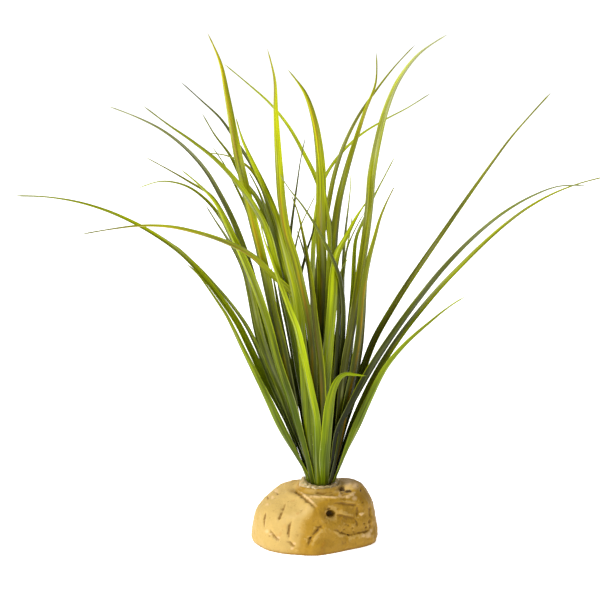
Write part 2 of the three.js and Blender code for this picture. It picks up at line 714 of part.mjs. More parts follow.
// The blade's middle line: out of its slot, past its knee and on to its tip.
function middleLine(row, slot) {
  const lengths = [0];
  const flat = [[slot.foot.x, slot.foot.z], ...row.path];
  for (let i = 1; i < flat.length; i++) {
    lengths.push(lengths[i - 1] + Math.hypot(flat[i][0] - flat[i - 1][0], flat[i][1] - flat[i - 1][1]));
  }
  const total = lengths.at(-1);
  const firstAbove = flat.findIndex(([, up]) => up >= KNEE_HEIGHT);
  const knee = firstAbove < 0 ? LATEST_KNEE : Math.min(LATEST_KNEE, lengths[firstAbove] / total);
  const [kneeDepth, tipDepth] = row.depth;
  const depthAt = (part) => {
    const fromFoot = (slot.foot.y * (part - knee) * (part - 1)) / knee;
    const fromKnee = (kneeDepth * part * (part - 1)) / (knee * (knee - 1));
    const fromTip = (tipDepth * part * (part - knee)) / (1 - knee);
    return fromFoot + fromKnee + fromTip;
  };
  const points = row.path.map((point, i) => alongSight(point, depthAt(lengths[i + 1] / total)));
  return new THREE.CatmullRomCurve3([slot.foot, ...points], false, "centripetal");
}

function startBlade(row, slot) {
  const rings = row.rings ?? BLADE_RINGS;
  const centres = middleLine(row, slot).getSpacedPoints(rings);
  const rest = centres.map((centre) => centre.clone());
  return { row, slot, rest, centres, moved: centres.map(() => new THREE.Vector3()) };
}

function widthAt({ row, slot }, part) {
  const grown = lerp(slot.footWidth, row.width, smoothstep(part, 0, WIDTH_GROWN_AT));
  const narrowing = clamp((part - row.slim) / (1 - row.slim), 0, 1);
  return grown * (1 - TIP_NARROWING * narrowing ** NARROWING_CURVE);
}

// The inner face of a blade looks to the tuft's middle at its foot and turns on the way up until
// the blade shows the wanted share of its width from the front.
function framesOf(blade) {
  const { centres, row, slot } = blade;
  const last = centres.length - 1;
  const inward = slot.outward.clone().multiplyScalar(-FOOT_INWARD_LEAN);
  inward.z += FOOT_UPWARD_LEAN;
  const frames = centres.map((centre, i) => {
    const tangent = centres[Math.min(i + 1, last)].clone().sub(centres[Math.max(i - 1, 0)]).normalize();
    const inner = inward.clone().addScaledVector(tangent, -inward.dot(tangent)).normalize();
    const toEye = EYE.clone().sub(centre);
    const facing = toEye.addScaledVector(tangent, -toEye.dot(tangent)).normalize();
    const angle = Math.atan2(inner.clone().cross(facing).dot(tangent), inner.dot(facing));
    return { tangent, inner, angle };
  });
  const middle = frames[Math.round(last * LATEST_KNEE)];
  const tilt = Math.acos(row.show);
  const wanted = [tilt, -tilt, Math.PI + tilt, Math.PI - tilt].map((turn) => wrapAngle(middle.angle + turn));
  const chosen = wanted.reduce((best, turn) => (Math.abs(turn) < Math.abs(best) ? turn : best));
  const offset = chosen - middle.angle;
  return frames.map(({ tangent, inner, angle }, i) => {
    const turn = wrapAngle(angle + offset) * smoothstep(i / last, FACING_FROM, FACING_AT);
    const normal = inner.clone().applyAxisAngle(tangent, turn);
    return { tangent, normal, side: normal.clone().cross(tangent) };
  });
}

function wrapAngle(angle) {
  return angle - 2 * Math.PI * Math.round(angle / (2 * Math.PI));
}

// Pearls sit all over a blade, each tied to the two rings that it lies between.
function pearlsOn(blade, bladeIndex) {
  const frames = framesOf(blade);
  const pearls = [];
  const last = blade.centres.length - 1;
  for (let ring = 0; ring < last; ring++) {
    const from = blade.centres[ring];
    const to = blade.centres[ring + 1];
    const steps = Math.ceil(from.distanceTo(to) / (ring < CROWDED_RINGS ? PEARL_STEP_AT_FOOT : PEARL_STEP));
    for (let step = 0; step < steps; step++) {
      const share = step / steps;
      const centre = from.clone().lerp(to, share);
      const side = frames[ring].side.clone().lerp(frames[ring + 1].side, share);
      const normal = frames[ring].normal.clone().lerp(frames[ring + 1].normal, share);
      const width = lerp(widthAt(blade, ring / last), widthAt(blade, (ring + 1) / last), share);
      for (let place = 0; place < PEARLS_ACROSS; place++) {
        const across = (2 * place) / (PEARLS_ACROSS - 1) - 1;
        const point = centre.clone().addScaledVector(side, (across * width) / 2);
        point.addScaledVector(normal, width * BLADE_FOLD * (Math.abs(across) - 0.5));
        const radius = pearlRadius(centre.z) * (1 - EDGE_PEARL_LESS * Math.abs(across));
        pearls.push({ point, centre, radius, bladeIndex, ring, share });
      }
    }
  }
  return pearls;
}

function pearlRadius(height) {
  return lerp(PEARL_RADIUS_AT_FOOT, PEARL_RADIUS, smoothstep(height, CROWDED_HEIGHT, FREE_HEIGHT));
}

// Steps from a cell of space to itself and to the 26 cells round it.
const STEPS = [-1, 0, 1];
const CELLS_AROUND = STEPS.flatMap((x) => STEPS.flatMap((y) => STEPS.map((z) => [x, y, z])));

function forEachClosePair(pearls, visit) {
  const cell = 2 * PEARL_RADIUS;
  const keyOf = (x, y, z) => (x * 4096 + y) * 4096 + z;
  const cells = new Map();
  for (const pearl of pearls) {
    pearl.cell = [pearl.point.x, pearl.point.y, pearl.point.z].map((value) => Math.floor(value / cell) + 512);
    const key = keyOf(...pearl.cell);
    if (!cells.has(key)) cells.set(key, []);
    cells.get(key).push(pearl);
  }
  for (const pearl of pearls) {
    const [x, y, z] = pearl.cell;
    for (const [right, back, up] of CELLS_AROUND) {
      const near = cells.get(keyOf(x + right, y + back, z + up));
      if (!near) continue;
      for (const other of near) {
        if (other.bladeIndex > pearl.bladeIndex) visit(pearl, other);
      }
    }
  }
}

// Blades that touch push each other apart, mostly forwards and backwards above the crowded foot,
// where moving them does not change how the tuft looks from the front.
function settle(blades) {
  for (let round = 0; round < SETTLING_ROUNDS; round++) {
    const pearls = blades.flatMap(pearlsOn);
    const pushes = blades.map(({ centres }) => centres.map(() => ({ sum: new THREE.Vector3(), weight: 0 })));
    forEachClosePair(pearls, (a, b) => {
      const overlap = a.radius + b.radius - a.point.distanceTo(b.point);
      if (overlap <= 0) return;
      const sideways = lerp(1, SIDEWAYS_SHARE, smoothstep(a.centre.z, CROWDED_HEIGHT, FREE_HEIGHT));
      const away = a.centre.clone().sub(b.centre);
      away.set(away.x * sideways, away.y, 0);
      if (away.length() < LEAST_DISTANCE) away.set(0, a.bladeIndex % 2 ? 1 : -1, 0);
      away.normalize();
      for (const [pearl, sign] of [[a, 1], [b, -1]]) {
        for (const [ring, share] of [[pearl.ring, 1 - pearl.share], [pearl.ring + 1, pearl.share]]) {
          const push = pushes[pearl.bladeIndex][ring];
          push.sum.addScaledVector(away, sign * overlap * overlap * share);
          push.weight += overlap * share;
        }
      }
    });
    blades.forEach((blade, index) => applyPushes(blade, pushes[index]));
  }
}

// A blade's foot stays in its slot, and what moves one ring bends the blade smoothly past it.
function applyPushes(blade, pushes) {
  const { rest, centres, moved } = blade;
  const last = centres.length - 1;
  for (let ring = 1; ring <= last; ring++) {
    const { sum, weight } = pushes[ring];
    if (weight > 0) moved[ring].addScaledVector(sum, 1 / weight);
  }
  const smooth = moved.map((move, ring) => {
    if (ring === 0) return move;
    const beside = moved[ring - 1].clone().lerp(moved[Math.min(ring + 1, last)], 0.5);
    const farthest = FARTHEST_MOVE * (rest[ring].z - FOOT_HEIGHT);
    return move.clone().lerp(beside, BLADE_STIFFNESS).clampLength(0, farthest);
  });
  smooth.forEach((move, ring) => {
    moved[ring].copy(move);
    centres[ring].addVectors(rest[ring], move);
  });
}

function bladeGeometry(blade) {
  const frames = framesOf(blade);
  const last = blade.centres.length - 1;
  const rings = [];
  for (let ring = 0; ring < last; ring++) {
    const part = ring / last;
    const halfWidth = widthAt(blade, part) / 2;
    const fold = 2 * halfWidth * BLADE_FOLD;
    const thickness = lerp(BLADE_THICKNESS, BLADE_TIP_THICKNESS, part);
    const { side, normal } = frames[ring];
    const at = (across, out) =>
      blade.centres[ring].clone().addScaledVector(side, across).addScaledVector(normal, out);
    rings.push([
      at(halfWidth, fold / 2),
      at(0, thickness / 2 - fold / 2),
      at(-halfWidth, fold / 2),
      at(0, -thickness / 2 - fold / 2),
    ]);
  }
  const footPoint = rings[0][1].clone().add(rings[0][3]).multiplyScalar(0.5);
  return loft(rings, footPoint, blade.centres[last], true);
}

function addPiece(group, name, geometry, color, roughness) {
  const piece = new THREE.Mesh(geometry, new THREE.MeshStandardMaterial({ color, roughness, metalness: 0 }));
  piece.name = name;
  group.add(piece);
}

const group = new THREE.Group();
addPiece(group, "rock_base", makeRock(), 0xc9a045, 0.7);
addPiece(group, "glue_collar", makeGlue(), 0xd9d2c0, 0.35);

const slots = shareOutSlots(BLADES);
const blades = BLADES.map((row, index) => startBlade(row, slots[index]));
settle(blades);
blades.forEach((blade, index) => {
  const name = `blade_${String(index + 1).padStart(2, "0")}`;
  addPiece(group, name, bladeGeometry(blade), TONES[blade.row.tone], 0.42);
});

export default group;
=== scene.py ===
# %% [markdown]
# An artificial turtle grass for an aquarium: long folded plastic blades stand in hot glue on a
# rock cast in resin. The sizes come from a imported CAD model, which is loaded as a fixed frame.
# The cells below dress it piece by piece. The blades come first as smooth strips swept by
# Geometry Nodes, then the rock gets its chisel marks and wash, and last the glue is poured.

import math

import bmesh
import bpy
import numpy as np
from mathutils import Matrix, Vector, noise
from mathutils.bvhtree import BVHTree


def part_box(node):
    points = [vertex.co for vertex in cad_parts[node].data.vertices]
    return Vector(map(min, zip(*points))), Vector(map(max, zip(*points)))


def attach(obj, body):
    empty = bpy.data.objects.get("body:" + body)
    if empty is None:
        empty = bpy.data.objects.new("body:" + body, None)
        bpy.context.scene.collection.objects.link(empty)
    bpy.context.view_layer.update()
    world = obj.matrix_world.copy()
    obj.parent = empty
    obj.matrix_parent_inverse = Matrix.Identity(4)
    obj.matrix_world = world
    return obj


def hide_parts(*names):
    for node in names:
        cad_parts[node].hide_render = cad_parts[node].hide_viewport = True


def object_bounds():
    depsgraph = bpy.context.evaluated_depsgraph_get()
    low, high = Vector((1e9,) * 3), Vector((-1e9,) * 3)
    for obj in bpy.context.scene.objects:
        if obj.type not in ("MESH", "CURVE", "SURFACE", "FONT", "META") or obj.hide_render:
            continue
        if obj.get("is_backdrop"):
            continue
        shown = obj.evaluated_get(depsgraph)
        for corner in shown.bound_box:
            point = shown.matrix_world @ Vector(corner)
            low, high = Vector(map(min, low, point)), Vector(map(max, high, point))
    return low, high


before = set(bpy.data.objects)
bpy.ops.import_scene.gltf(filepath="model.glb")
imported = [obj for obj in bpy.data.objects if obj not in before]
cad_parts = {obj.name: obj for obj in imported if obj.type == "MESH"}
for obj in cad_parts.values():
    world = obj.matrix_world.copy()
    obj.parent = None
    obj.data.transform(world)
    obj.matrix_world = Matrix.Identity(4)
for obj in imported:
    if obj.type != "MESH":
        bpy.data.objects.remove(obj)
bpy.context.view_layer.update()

MM = 0.001
blade_names = sorted(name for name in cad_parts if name.startswith("blade_"))
print("blades in the frame:", len(blade_names))

# %% [markdown]
# The camera stands about a metre away, a little above the tuft, and looks 13 degrees down. A
# short lens from nearby would spread the blades apart at the top. The long lens shows hardly any
# perspective, as in a catalogue picture.

# %% The camera
EYE = Vector((-9.6, -974.4, 376.0)) * MM
LOOKING_DOWN = math.radians(13)

camera_data = bpy.data.cameras.new("camera")
camera_data.lens = 100
camera_data.sensor_width = 36
camera = bpy.data.objects.new("camera", camera_data)
camera.location = EYE
camera.rotation_euler = (math.pi / 2 - LOOKING_DOWN, 0, 0)
bpy.context.collection.objects.link(camera)
bpy.context.scene.camera = camera
print("camera at", [round(v, 4) for v in camera.location])

# %% [markdown]
# Materials and Geometry Nodes trees are both made of nodes. One small helper adds a node together
# with its settings and its links, which keeps the trees below readable from top to bottom. Colours
# are written as a screen shows them and turned to linear values in one place.

# %% Helpers for colours and nodes


def srgb(hex_code, alpha=1.0):
    """A colour as a screen shows it, turned to the linear values that the nodes count in."""
    channels = [int(hex_code[i : i + 2], 16) / 255 for i in (1, 3, 5)]
    linear = [c / 12.92 if c <= 0.04045 else ((c + 0.055) / 1.055) ** 2.4 for c in channels]
    return (*linear, alpha)


def add_node(tree, kind, inputs=None, **settings):
    """One node with its settings. An input takes a value, another node's socket, or that node."""
    node = tree.nodes.new(kind)
    for name, value in settings.items():
        setattr(node, name, value)
    for socket, value in (inputs or {}).items():
        if isinstance(value, bpy.types.Node):
            value = value.outputs[0]
        if isinstance(value, bpy.types.NodeSocket):
            tree.links.new(value, node.inputs[socket])
        else:
            node.inputs[socket].default_value = value
    return node


def new_material(name):
    """An empty node material, and its tree."""
    material = bpy.data.materials.new(name)
    material.use_nodes = True
    material.node_tree.nodes.clear()
    return material, material.node_tree


print("white as linear values:", srgb("#FFFFFF")[:3])

# %% [markdown]
# The tuft stands on a lit white table, as for a catalogue picture: the table glows a little, so
# shadows on it almost vanish. One soft light from the left front models the forms, with a weak
# one from the right and one from behind that catches the blades' edges.

# %% Lights and table
TUFT_MIDDLE = (0, 0, 0.12)
# Each light: its place and the side of its square, in metres, and its power in watts.
LIGHTS = {
    "key_light": ((-1.45, -0.8, 1.3), 0.6, 50),
    "fill_light": ((1.3, -0.9, 0.7), 1.2, 1.5),
    "back_light": ((0.3, 1.4, 1.2), 1.2, 8),
}
STUDIO_GLOW = 0.36
TABLE_GLOW = 0.78
TABLE_HALF = 12.0

for name, (place, size, watts) in LIGHTS.items():
    light_data = bpy.data.lights.new(name, "AREA")
    light_data.size = size
    light_data.energy = watts
    light = bpy.data.objects.new(name, light_data)
    light.location = place
    towards_tuft = Vector(TUFT_MIDDLE) - Vector(place)
    light.rotation_euler = towards_tuft.to_track_quat("-Z", "Y").to_euler()
    bpy.context.collection.objects.link(light)

world = bpy.data.worlds.new("studio")
bpy.context.scene.world = world
world.use_nodes = True
world.node_tree.nodes["Background"].inputs["Color"].default_value = srgb("#FFFFFF")
world.node_tree.nodes["Background"].inputs["Strength"].default_value = STUDIO_GLOW

floor_mesh = bpy.data.meshes.new("floor")
corners = [(-1, -1), (1, -1), (1, 1), (-1, 1)]
floor_points = [(x * TABLE_HALF, y * TABLE_HALF, 0) for x, y in corners]
floor_mesh.from_pydata(floor_points, [], [(0, 1, 2, 3)])
floor = bpy.data.objects.new("floor", floor_mesh)
bpy.context.collection.objects.link(floor)

# White acrylic sheet, lit from below: matt, with a glow of its own.
acrylic, tree = new_material("lit_white_acrylic")
surface = add_node(
    tree,
    "ShaderNodeBsdfPrincipled",
    {
        "Base Color": srgb("#F4F4F4"),
        "Roughness": 0.9,
        "Specular IOR Level": 0.0,
        "Emission Color": srgb("#FFFFFF"),
        "Emission Strength": TABLE_GLOW,
    },
)
add_node(tree, "ShaderNodeOutputMaterial", {"Surface": surface})
floor_mesh.materials.append(acrylic)
floor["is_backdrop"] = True
bpy.context.scene.view_settings.view_transform = "Standard"
print("lights:", ", ".join(LIGHTS))

# %% [markdown]
# A blade is a strip of soft plastic with a fold along its middle. Its CAD solid is a row of
# four-cornered sections from foot to tip: two sharp edges and two middles, one on each face.
# Reading those sections back gives the line that the blade follows, how wide it is there and
# which way it faces. A walk over the mesh from the blade's foot meets the corners of one section
# after another, always four at a time, until it ends in the tip.

# %% Walk along a blade's solid


def merged_mesh(name):
    """A copy of a CAD node's mesh whose loose triangles share their corners."""
    mesh = bmesh.new()
    mesh.from_mesh(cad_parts[name].data)
    bmesh.ops.remove_doubles(mesh, verts=mesh.verts, dist=1e-6)
    return mesh


def walk_from(corner):
    """The corners that are one edge away from a corner of a mesh, then two edges, and so on."""
    seen = {corner}
    levels = [{corner}]
    while levels[-1]:
        levels.append({e.other_vert(v) for v in levels[-1] for e in v.link_edges} - seen)
        seen |= levels[-1]
    return levels[1:-1]


def sections_of(name, tuft_foot):
    """The sections of a blade's solid from its foot to its tip, four points each, and its tip."""
    mesh = merged_mesh(name)
    walks = [walk_from(v) for v in mesh.verts if len(v.link_edges) == 4]
    whole = [walk for walk in walks if all(len(level) == 4 for level in walk[:-1])]
    places = [[np.array([v.co[:] for v in level]) for level in walk] for walk in whole]
    mesh.free()
    foot = np.array(tuft_foot)
    walk = min(places, key=lambda walk: np.linalg.norm(walk[0].mean(axis=0) - foot))
    return walk[:-1], walk[-1][0]


glue_low, glue_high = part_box("glue_collar")
tuft_foot = Vector(((glue_low.x + glue_high.x) / 2, (glue_low.y + glue_high.y) / 2, glue_high.z))
print("sections of the first blade:", len(sections_of(blade_names[0], tuft_foot)[0]))

# %% [markdown]
# In each section the two edges are the corners that lie farthest apart. Which is which is only
# clear where the blade is widest, so the corners are matched from there to both ends, each with
# the nearest one of the section before.

# %% Read a blade's line from its sections
TIP_HALF_WIDTH = 0.05 * MM


def unit(vector):
    return vector / np.linalg.norm(vector)


def widest_pair(section):
    """The two corners of a section that lie farthest apart, and the two others."""
    pairs = [((0, 1), (2, 3)), ((0, 2), (1, 3)), ((0, 3), (1, 2))]
    both = [pair for split in pairs for pair in (split, split[::-1])]
    return max(both, key=lambda pair: np.linalg.norm(section[pair[0][0]] - section[pair[0][1]]))


def ordered_sections(sections, middles, widest):
    """All sections with their corners in one order: two edges, then the middles of two faces."""
    edges, faces = widest_pair(sections[widest])
    ordered = {widest: sections[widest][list(edges + faces)]}
    for step in (1, -1):
        index = widest + step
        while 0 <= index < len(sections):
            before = ordered[index - step] - middles[index - step]
            here = sections[index] - middles[index]
            taken = []
            for corner in before:
                free = [k for k in range(4) if k not in taken]
                taken.append(min(free, key=lambda k: np.linalg.norm(here[k] - corner)))
            ordered[index] = sections[index][taken]
            index += step
    return [ordered[index] for index in range(len(sections))]


def line_of(name, tuft_foot):
    """Where a blade runs: the middles of its sections, half its width, and its crosswise way."""
    sections, tip = sections_of(name, tuft_foot)
    middles = [section.mean(axis=0) for section in sections]
    edges = [widest_pair(section)[0] for section in sections]
    spans = [np.linalg.norm(s[first] - s[last]) for s, (first, last) in zip(sections, edges)]
    widest = int(np.argmax(spans))
    ordered = ordered_sections(sections, middles, widest)
    section = ordered[widest]
    inward = section[:2].mean(axis=0) - section[2:].mean(axis=0)
    onward = middles[min(widest + 1, len(middles) - 1)] - middles[max(widest - 1, 0)]
    right = 0 if np.dot(section[0] - section[1], np.cross(inward, onward)) > 0 else 1
    across = [section[right] - section[1 - right] for section in ordered]
    half_widths = [np.linalg.norm(a) / 2 for a in across]
    sides = [unit(a) for a in across]
    return middles + [tip], half_widths + [TIP_HALF_WIDTH], sides + [sides[-1]]


blade_lines = {name: line_of(name, tuft_foot) for name in blade_names}
lengths = {}
for name, (middles, half_widths, sides) in blade_lines.items():
    steps = np.diff(np.array(middles), axis=0)
    lengths[name] = float(np.linalg.norm(steps, axis=1).sum())
print("shortest blade, mm:", round(min(lengths.values()) / MM))
print("longest blade, mm:", round(max(lengths.values()) / MM))

# %% [markdown]
# The real blades are punched from embossed plastic strip: a soft fold along the middle, fine ribs
# beside it and thin edges. One Geometry Nodes tree makes them all, because they follow one rule
# and only differ in line, length and plastic. It bends a flat grid into a closed section round
# the blade's line: the grid's first direction runs round the section, and the second from foot to
# tip. These are the tree's inputs, and the next cells build it step by step.

# %% The inputs of the blade's tree
BLADE_INPUTS = [
    ("Spine", "NodeSocketGeometry", None),
    ("Rings along", "NodeSocketInt", 110),
    ("Points round", "NodeSocketInt", 41),
    ("Thickness at foot", "NodeSocketFloat", 0.62 * MM),
    ("Thickness at tip", "NodeSocketFloat", 0.26 * MM),
    ("Fold", "NodeSocketFloat", 0.4),
    ("Rib height", "NodeSocketFloat", 0.045 * MM),
    ("Ribs on each half", "NodeSocketFloat", 2.5),
    ("Edge waves", "NodeSocketFloat", 0.05),
    ("Wider in the bundle", "NodeSocketFloat", 0.5),
    ("Wider above it", "NodeSocketFloat", 0.16),
    ("Bundle height", "NodeSocketFloat", 100 * MM),
    ("Narrowest half width", "NodeSocketFloat", 0.52 * MM),
    ("Seed", "NodeSocketFloat", 0.0),
    ("Plastic", "NodeSocketMaterial", None),
]

swept_blade = bpy.data.node_groups.new("swept_blade", "GeometryNodeTree")
for name, kind, value in BLADE_INPUTS:
    socket = swept_blade.interface.new_socket(name, in_out="INPUT", socket_type=kind)
    if value is not None:
        socket.default_value = value
swept_blade.interface.new_socket("Blade", in_out="OUTPUT", socket_type="NodeSocketGeometry")
print("inputs of the blade's tree:", len(BLADE_INPUTS))

# %% [markdown]
# First every point of the grid learns where it belongs. Round the section, across counts from
# one edge, 1, over the inner face to the other edge, -1, and back under the blade. Up the blade,
# run counts from 0 at the foot to 1 at the tip. The grid's first and last ring are drawn together
# to a point, which closes both ends.

# %% Where each grid point belongs
END_RING = 0.001


def places_on_strip(tree, given):
    """A flat grid, and for each point its across, its face, its run and whether it stays open."""
    size = {"Vertices X": given["Points round"], "Vertices Y": given["Rings along"]}
    grid = add_node(tree, "GeometryNodeMeshGrid", {"Size X": 1.0, "Size Y": 1.0, **size})
    position = add_node(tree, "GeometryNodeInputPosition")
    place = add_node(tree, "ShaderNodeSeparateXYZ", {0: position})
    around = add_node(tree, "ShaderNodeMath", {0: place.outputs["X"], 1: 0.5}, operation="ADD")
    along = add_node(tree, "ShaderNodeMath", {0: place.outputs["Y"], 1: 0.5}, operation="ADD")

    unfolded = {0: around, 1: 4.0, 2: -2.0}
    across = add_node(tree, "ShaderNodeMath", unfolded, operation="MULTIPLY_ADD")
    across = add_node(tree, "ShaderNodeMath", {0: across}, operation="ABSOLUTE")
    across = add_node(tree, "ShaderNodeMath", {0: across, 1: 1.0}, operation="SUBTRACT")
    face = add_node(tree, "ShaderNodeMath", {0: 0.5, 1: around}, operation="SUBTRACT")
    face = add_node(tree, "ShaderNodeMath", {0: face}, operation="SIGN")

    one_ring = {0: 1.0, 1: given["Rings along"]}
    one_ring = add_node(tree, "ShaderNodeMath", one_ring, operation="DIVIDE")
    run = add_node(tree, "ShaderNodeMapRange", {"Value": along, "From Min": one_ring})
    after_foot = {0: along, 1: END_RING}
    after_foot = add_node(tree, "ShaderNodeMath", after_foot, operation="GREATER_THAN")
    before_tip = {0: along, 1: 1 - END_RING}
    before_tip = add_node(tree, "ShaderNodeMath", before_tip, operation="LESS_THAN")
    opened = {0: after_foot, 1: before_tip}
    opened = add_node(tree, "ShaderNodeMath", opened, operation="MULTIPLY")
    return grid.outputs["Mesh"], across, face, run, opened


given = add_node(swept_blade, "NodeGroupInput").outputs
grid, across, face, run, opened = places_on_strip(swept_blade, given)
print("nodes so far:", len(swept_blade.nodes))

# %% [markdown]
# The blade's line comes in as a chain of points that carry a half width and a crosswise
# direction. A Catmull-Rom curve runs smoothly through them all. Sampling it says for each grid
# point where the blade is there, how wide, and which way its width and its inner face look.

# %% What the blade's line says there


def sampled_line(tree, given, run):
    """The line's length, and at each run the half width, place, crosswise way and face's way."""
    curve = add_node(tree, "GeometryNodeMeshToCurve", {"Mesh": given["Spine"]})
    smooth = {"spline_type": "CATMULL_ROM"}
    curve = add_node(tree, "GeometryNodeCurveSplineType", {"Curve": curve}, **smooth)
    length = add_node(tree, "GeometryNodeCurveLength", {"Curve": curve})
    samples = []
    for name, kind in (("half_width", "FLOAT"), ("side", "FLOAT_VECTOR")):
        carried = {"Name": name}
        carried = add_node(tree, "GeometryNodeInputNamedAttribute", carried, data_type=kind)
        sample = add_node(
            tree,
            "GeometryNodeSampleCurve",
            {"Curves": curve, "Value": carried, "Factor": run},
            mode="FACTOR",
            use_all_curves=True,
            data_type=kind,
        )
        samples.append(sample.outputs)
    (half_width, side) = samples
    crosswise = {0: side["Value"]}
    crosswise = add_node(tree, "ShaderNodeVectorMath", crosswise, operation="NORMALIZE")
    facing = {0: side["Tangent"], 1: crosswise}
    facing = add_node(tree, "ShaderNodeVectorMath", facing, operation="CROSS_PRODUCT")
    return length, half_width["Value"], side["Position"], crosswise, facing


length, solid_width, spine_place, crosswise, facing = sampled_line(swept_blade, given, run)
distance = add_node(swept_blade, "ShaderNodeMath", {0: run, 1: length}, operation="MULTIPLY")
print("nodes so far:", len(swept_blade.nodes))

# %% [markdown]
# Down in the bundle the soft strips are pressed together and overlap, so there they are made
# wider than the rigid solids, which may not touch. Higher up they are a little wider too, for the
# same reason. Slow waves make the edges uneven, each blade with its own. A cut strip also stays
# visibly wide until just before its tip, while the solids run out in a fine point.

# %% How wide the strip is there
WAVE_LENGTH = 18 * MM
TIP_TAPER = 0.11


def strip_width(tree, given, solid_width, distance, length, face):
    """Half the width of the soft strip at each grid point."""
    wave = {"X": distance, "Y": given["Seed"], "Z": face}
    wave = add_node(tree, "ShaderNodeCombineXYZ", wave)
    wave = {"Vector": wave, "Scale": 1 / WAVE_LENGTH, "Detail": 1.0}
    wave = add_node(tree, "ShaderNodeTexNoise", wave)
    wave = add_node(tree, "ShaderNodeMath", {0: wave, 1: 0.5}, operation="SUBTRACT")
    wave = {0: wave, 1: given["Edge waves"], 2: 1.0}
    wave = add_node(tree, "ShaderNodeMath", wave, operation="MULTIPLY_ADD")
    spread = add_node(
        tree,
        "ShaderNodeMapRange",
        {
            "Value": distance,
            "From Max": given["Bundle height"],
            "To Min": given["Wider in the bundle"],
            "To Max": given["Wider above it"],
        },
        interpolation_type="SMOOTHSTEP",
    )
    share = add_node(tree, "ShaderNodeMath", {0: wave, 1: spread}, operation="ADD")
    wide = add_node(tree, "ShaderNodeMath", {0: solid_width, 1: share}, operation="MULTIPLY")

    to_tip = add_node(tree, "ShaderNodeMath", {0: length, 1: distance}, operation="SUBTRACT")
    least = add_node(tree, "ShaderNodeMath", {0: to_tip, 1: TIP_TAPER}, operation="MULTIPLY")
    least = {0: least, 1: given["Narrowest half width"]}
    least = add_node(tree, "ShaderNodeMath", least, operation="MINIMUM")
    return add_node(tree, "ShaderNodeMath", {0: wide, 1: least}, operation="MAXIMUM")


wide = strip_width(swept_blade, given, solid_width, distance, length, face)
print("nodes so far:", len(swept_blade.nodes))

# %% [markdown]
# The section itself: the fold lifts both edges towards the inner face, and is rounded in the
# middle, not sharp. The strip is thick in its middle and runs out thin at its edges. Fine ribs
# stand on both faces, and fade where the blade gets narrow.

# %% The strip's section
FOLD_ROUNDING = 0.02
RIBS_FULL_AT = 2 * MM


def strip_section(tree, given, across, face, run, solid_width, wide):
    """How far each grid point stands out from the blade's line, towards the inner face."""
    fold = {0: across, 1: across, 2: FOLD_ROUNDING}
    fold = add_node(tree, "ShaderNodeMath", fold, operation="MULTIPLY_ADD")
    fold = add_node(tree, "ShaderNodeMath", {0: fold}, operation="SQRT")
    fold = add_node(tree, "ShaderNodeMath", {0: fold, 1: 0.5}, operation="SUBTRACT")
    fold = add_node(tree, "ShaderNodeMath", {0: fold, 1: given["Fold"]}, operation="MULTIPLY")
    fold = add_node(tree, "ShaderNodeMath", {0: fold, 1: wide}, operation="MULTIPLY")

    thick = {"To Min": given["Thickness at foot"], "To Max": given["Thickness at tip"]}
    thick = add_node(tree, "ShaderNodeMapRange", {"Value": run, **thick})
    from_fold = add_node(tree, "ShaderNodeMath", {0: across}, operation="ABSOLUTE")
    bulge = add_node(tree, "ShaderNodeMath", {0: from_fold, 1: 4.0}, operation="POWER")
    bulge = add_node(tree, "ShaderNodeMath", {0: 1.0, 1: bulge}, operation="SUBTRACT")
    thick = add_node(tree, "ShaderNodeMath", {0: thick, 1: bulge}, operation="MULTIPLY")
    thick = add_node(tree, "ShaderNodeMath", {0: thick, 1: 0.5}, operation="MULTIPLY")

    ribs = {0: across, 1: given["Ribs on each half"]}
    ribs = add_node(tree, "ShaderNodeMath", ribs, operation="MULTIPLY")
    ribs = add_node(tree, "ShaderNodeMath", {0: ribs, 1: math.tau}, operation="MULTIPLY")
    ribs = add_node(tree, "ShaderNodeMath", {0: ribs}, operation="COSINE")
    fade = add_node(tree, "ShaderNodeMapRange", {"Value": solid_width, "From Max": RIBS_FULL_AT})
    for factor in (given["Rib height"], bulge, fade):
        ribs = add_node(tree, "ShaderNodeMath", {0: ribs, 1: factor}, operation="MULTIPLY")
    skin = add_node(tree, "ShaderNodeMath", {0: thick, 1: ribs}, operation="ADD")
    skin = add_node(tree, "ShaderNodeMath", {0: skin, 1: face}, operation="MULTIPLY")
    return add_node(tree, "ShaderNodeMath", {0: fold, 1: skin}, operation="ADD")


outward = strip_section(swept_blade, given, across, face, run, solid_width, wide)
print("nodes so far:", len(swept_blade.nodes))

# %% [markdown]
# Now every grid point can go to its place beside the blade's line. Two attributes stay on the
# mesh for the plastic: across, and strip, which is the place on the flat strip in metres. The
# material's lines can then follow the blade however it bends. Merging the grid's two long sides
# and its drawn-in ends makes the skin closed.

# %% Bend the grid round the line
SEAM = 0.002 * MM


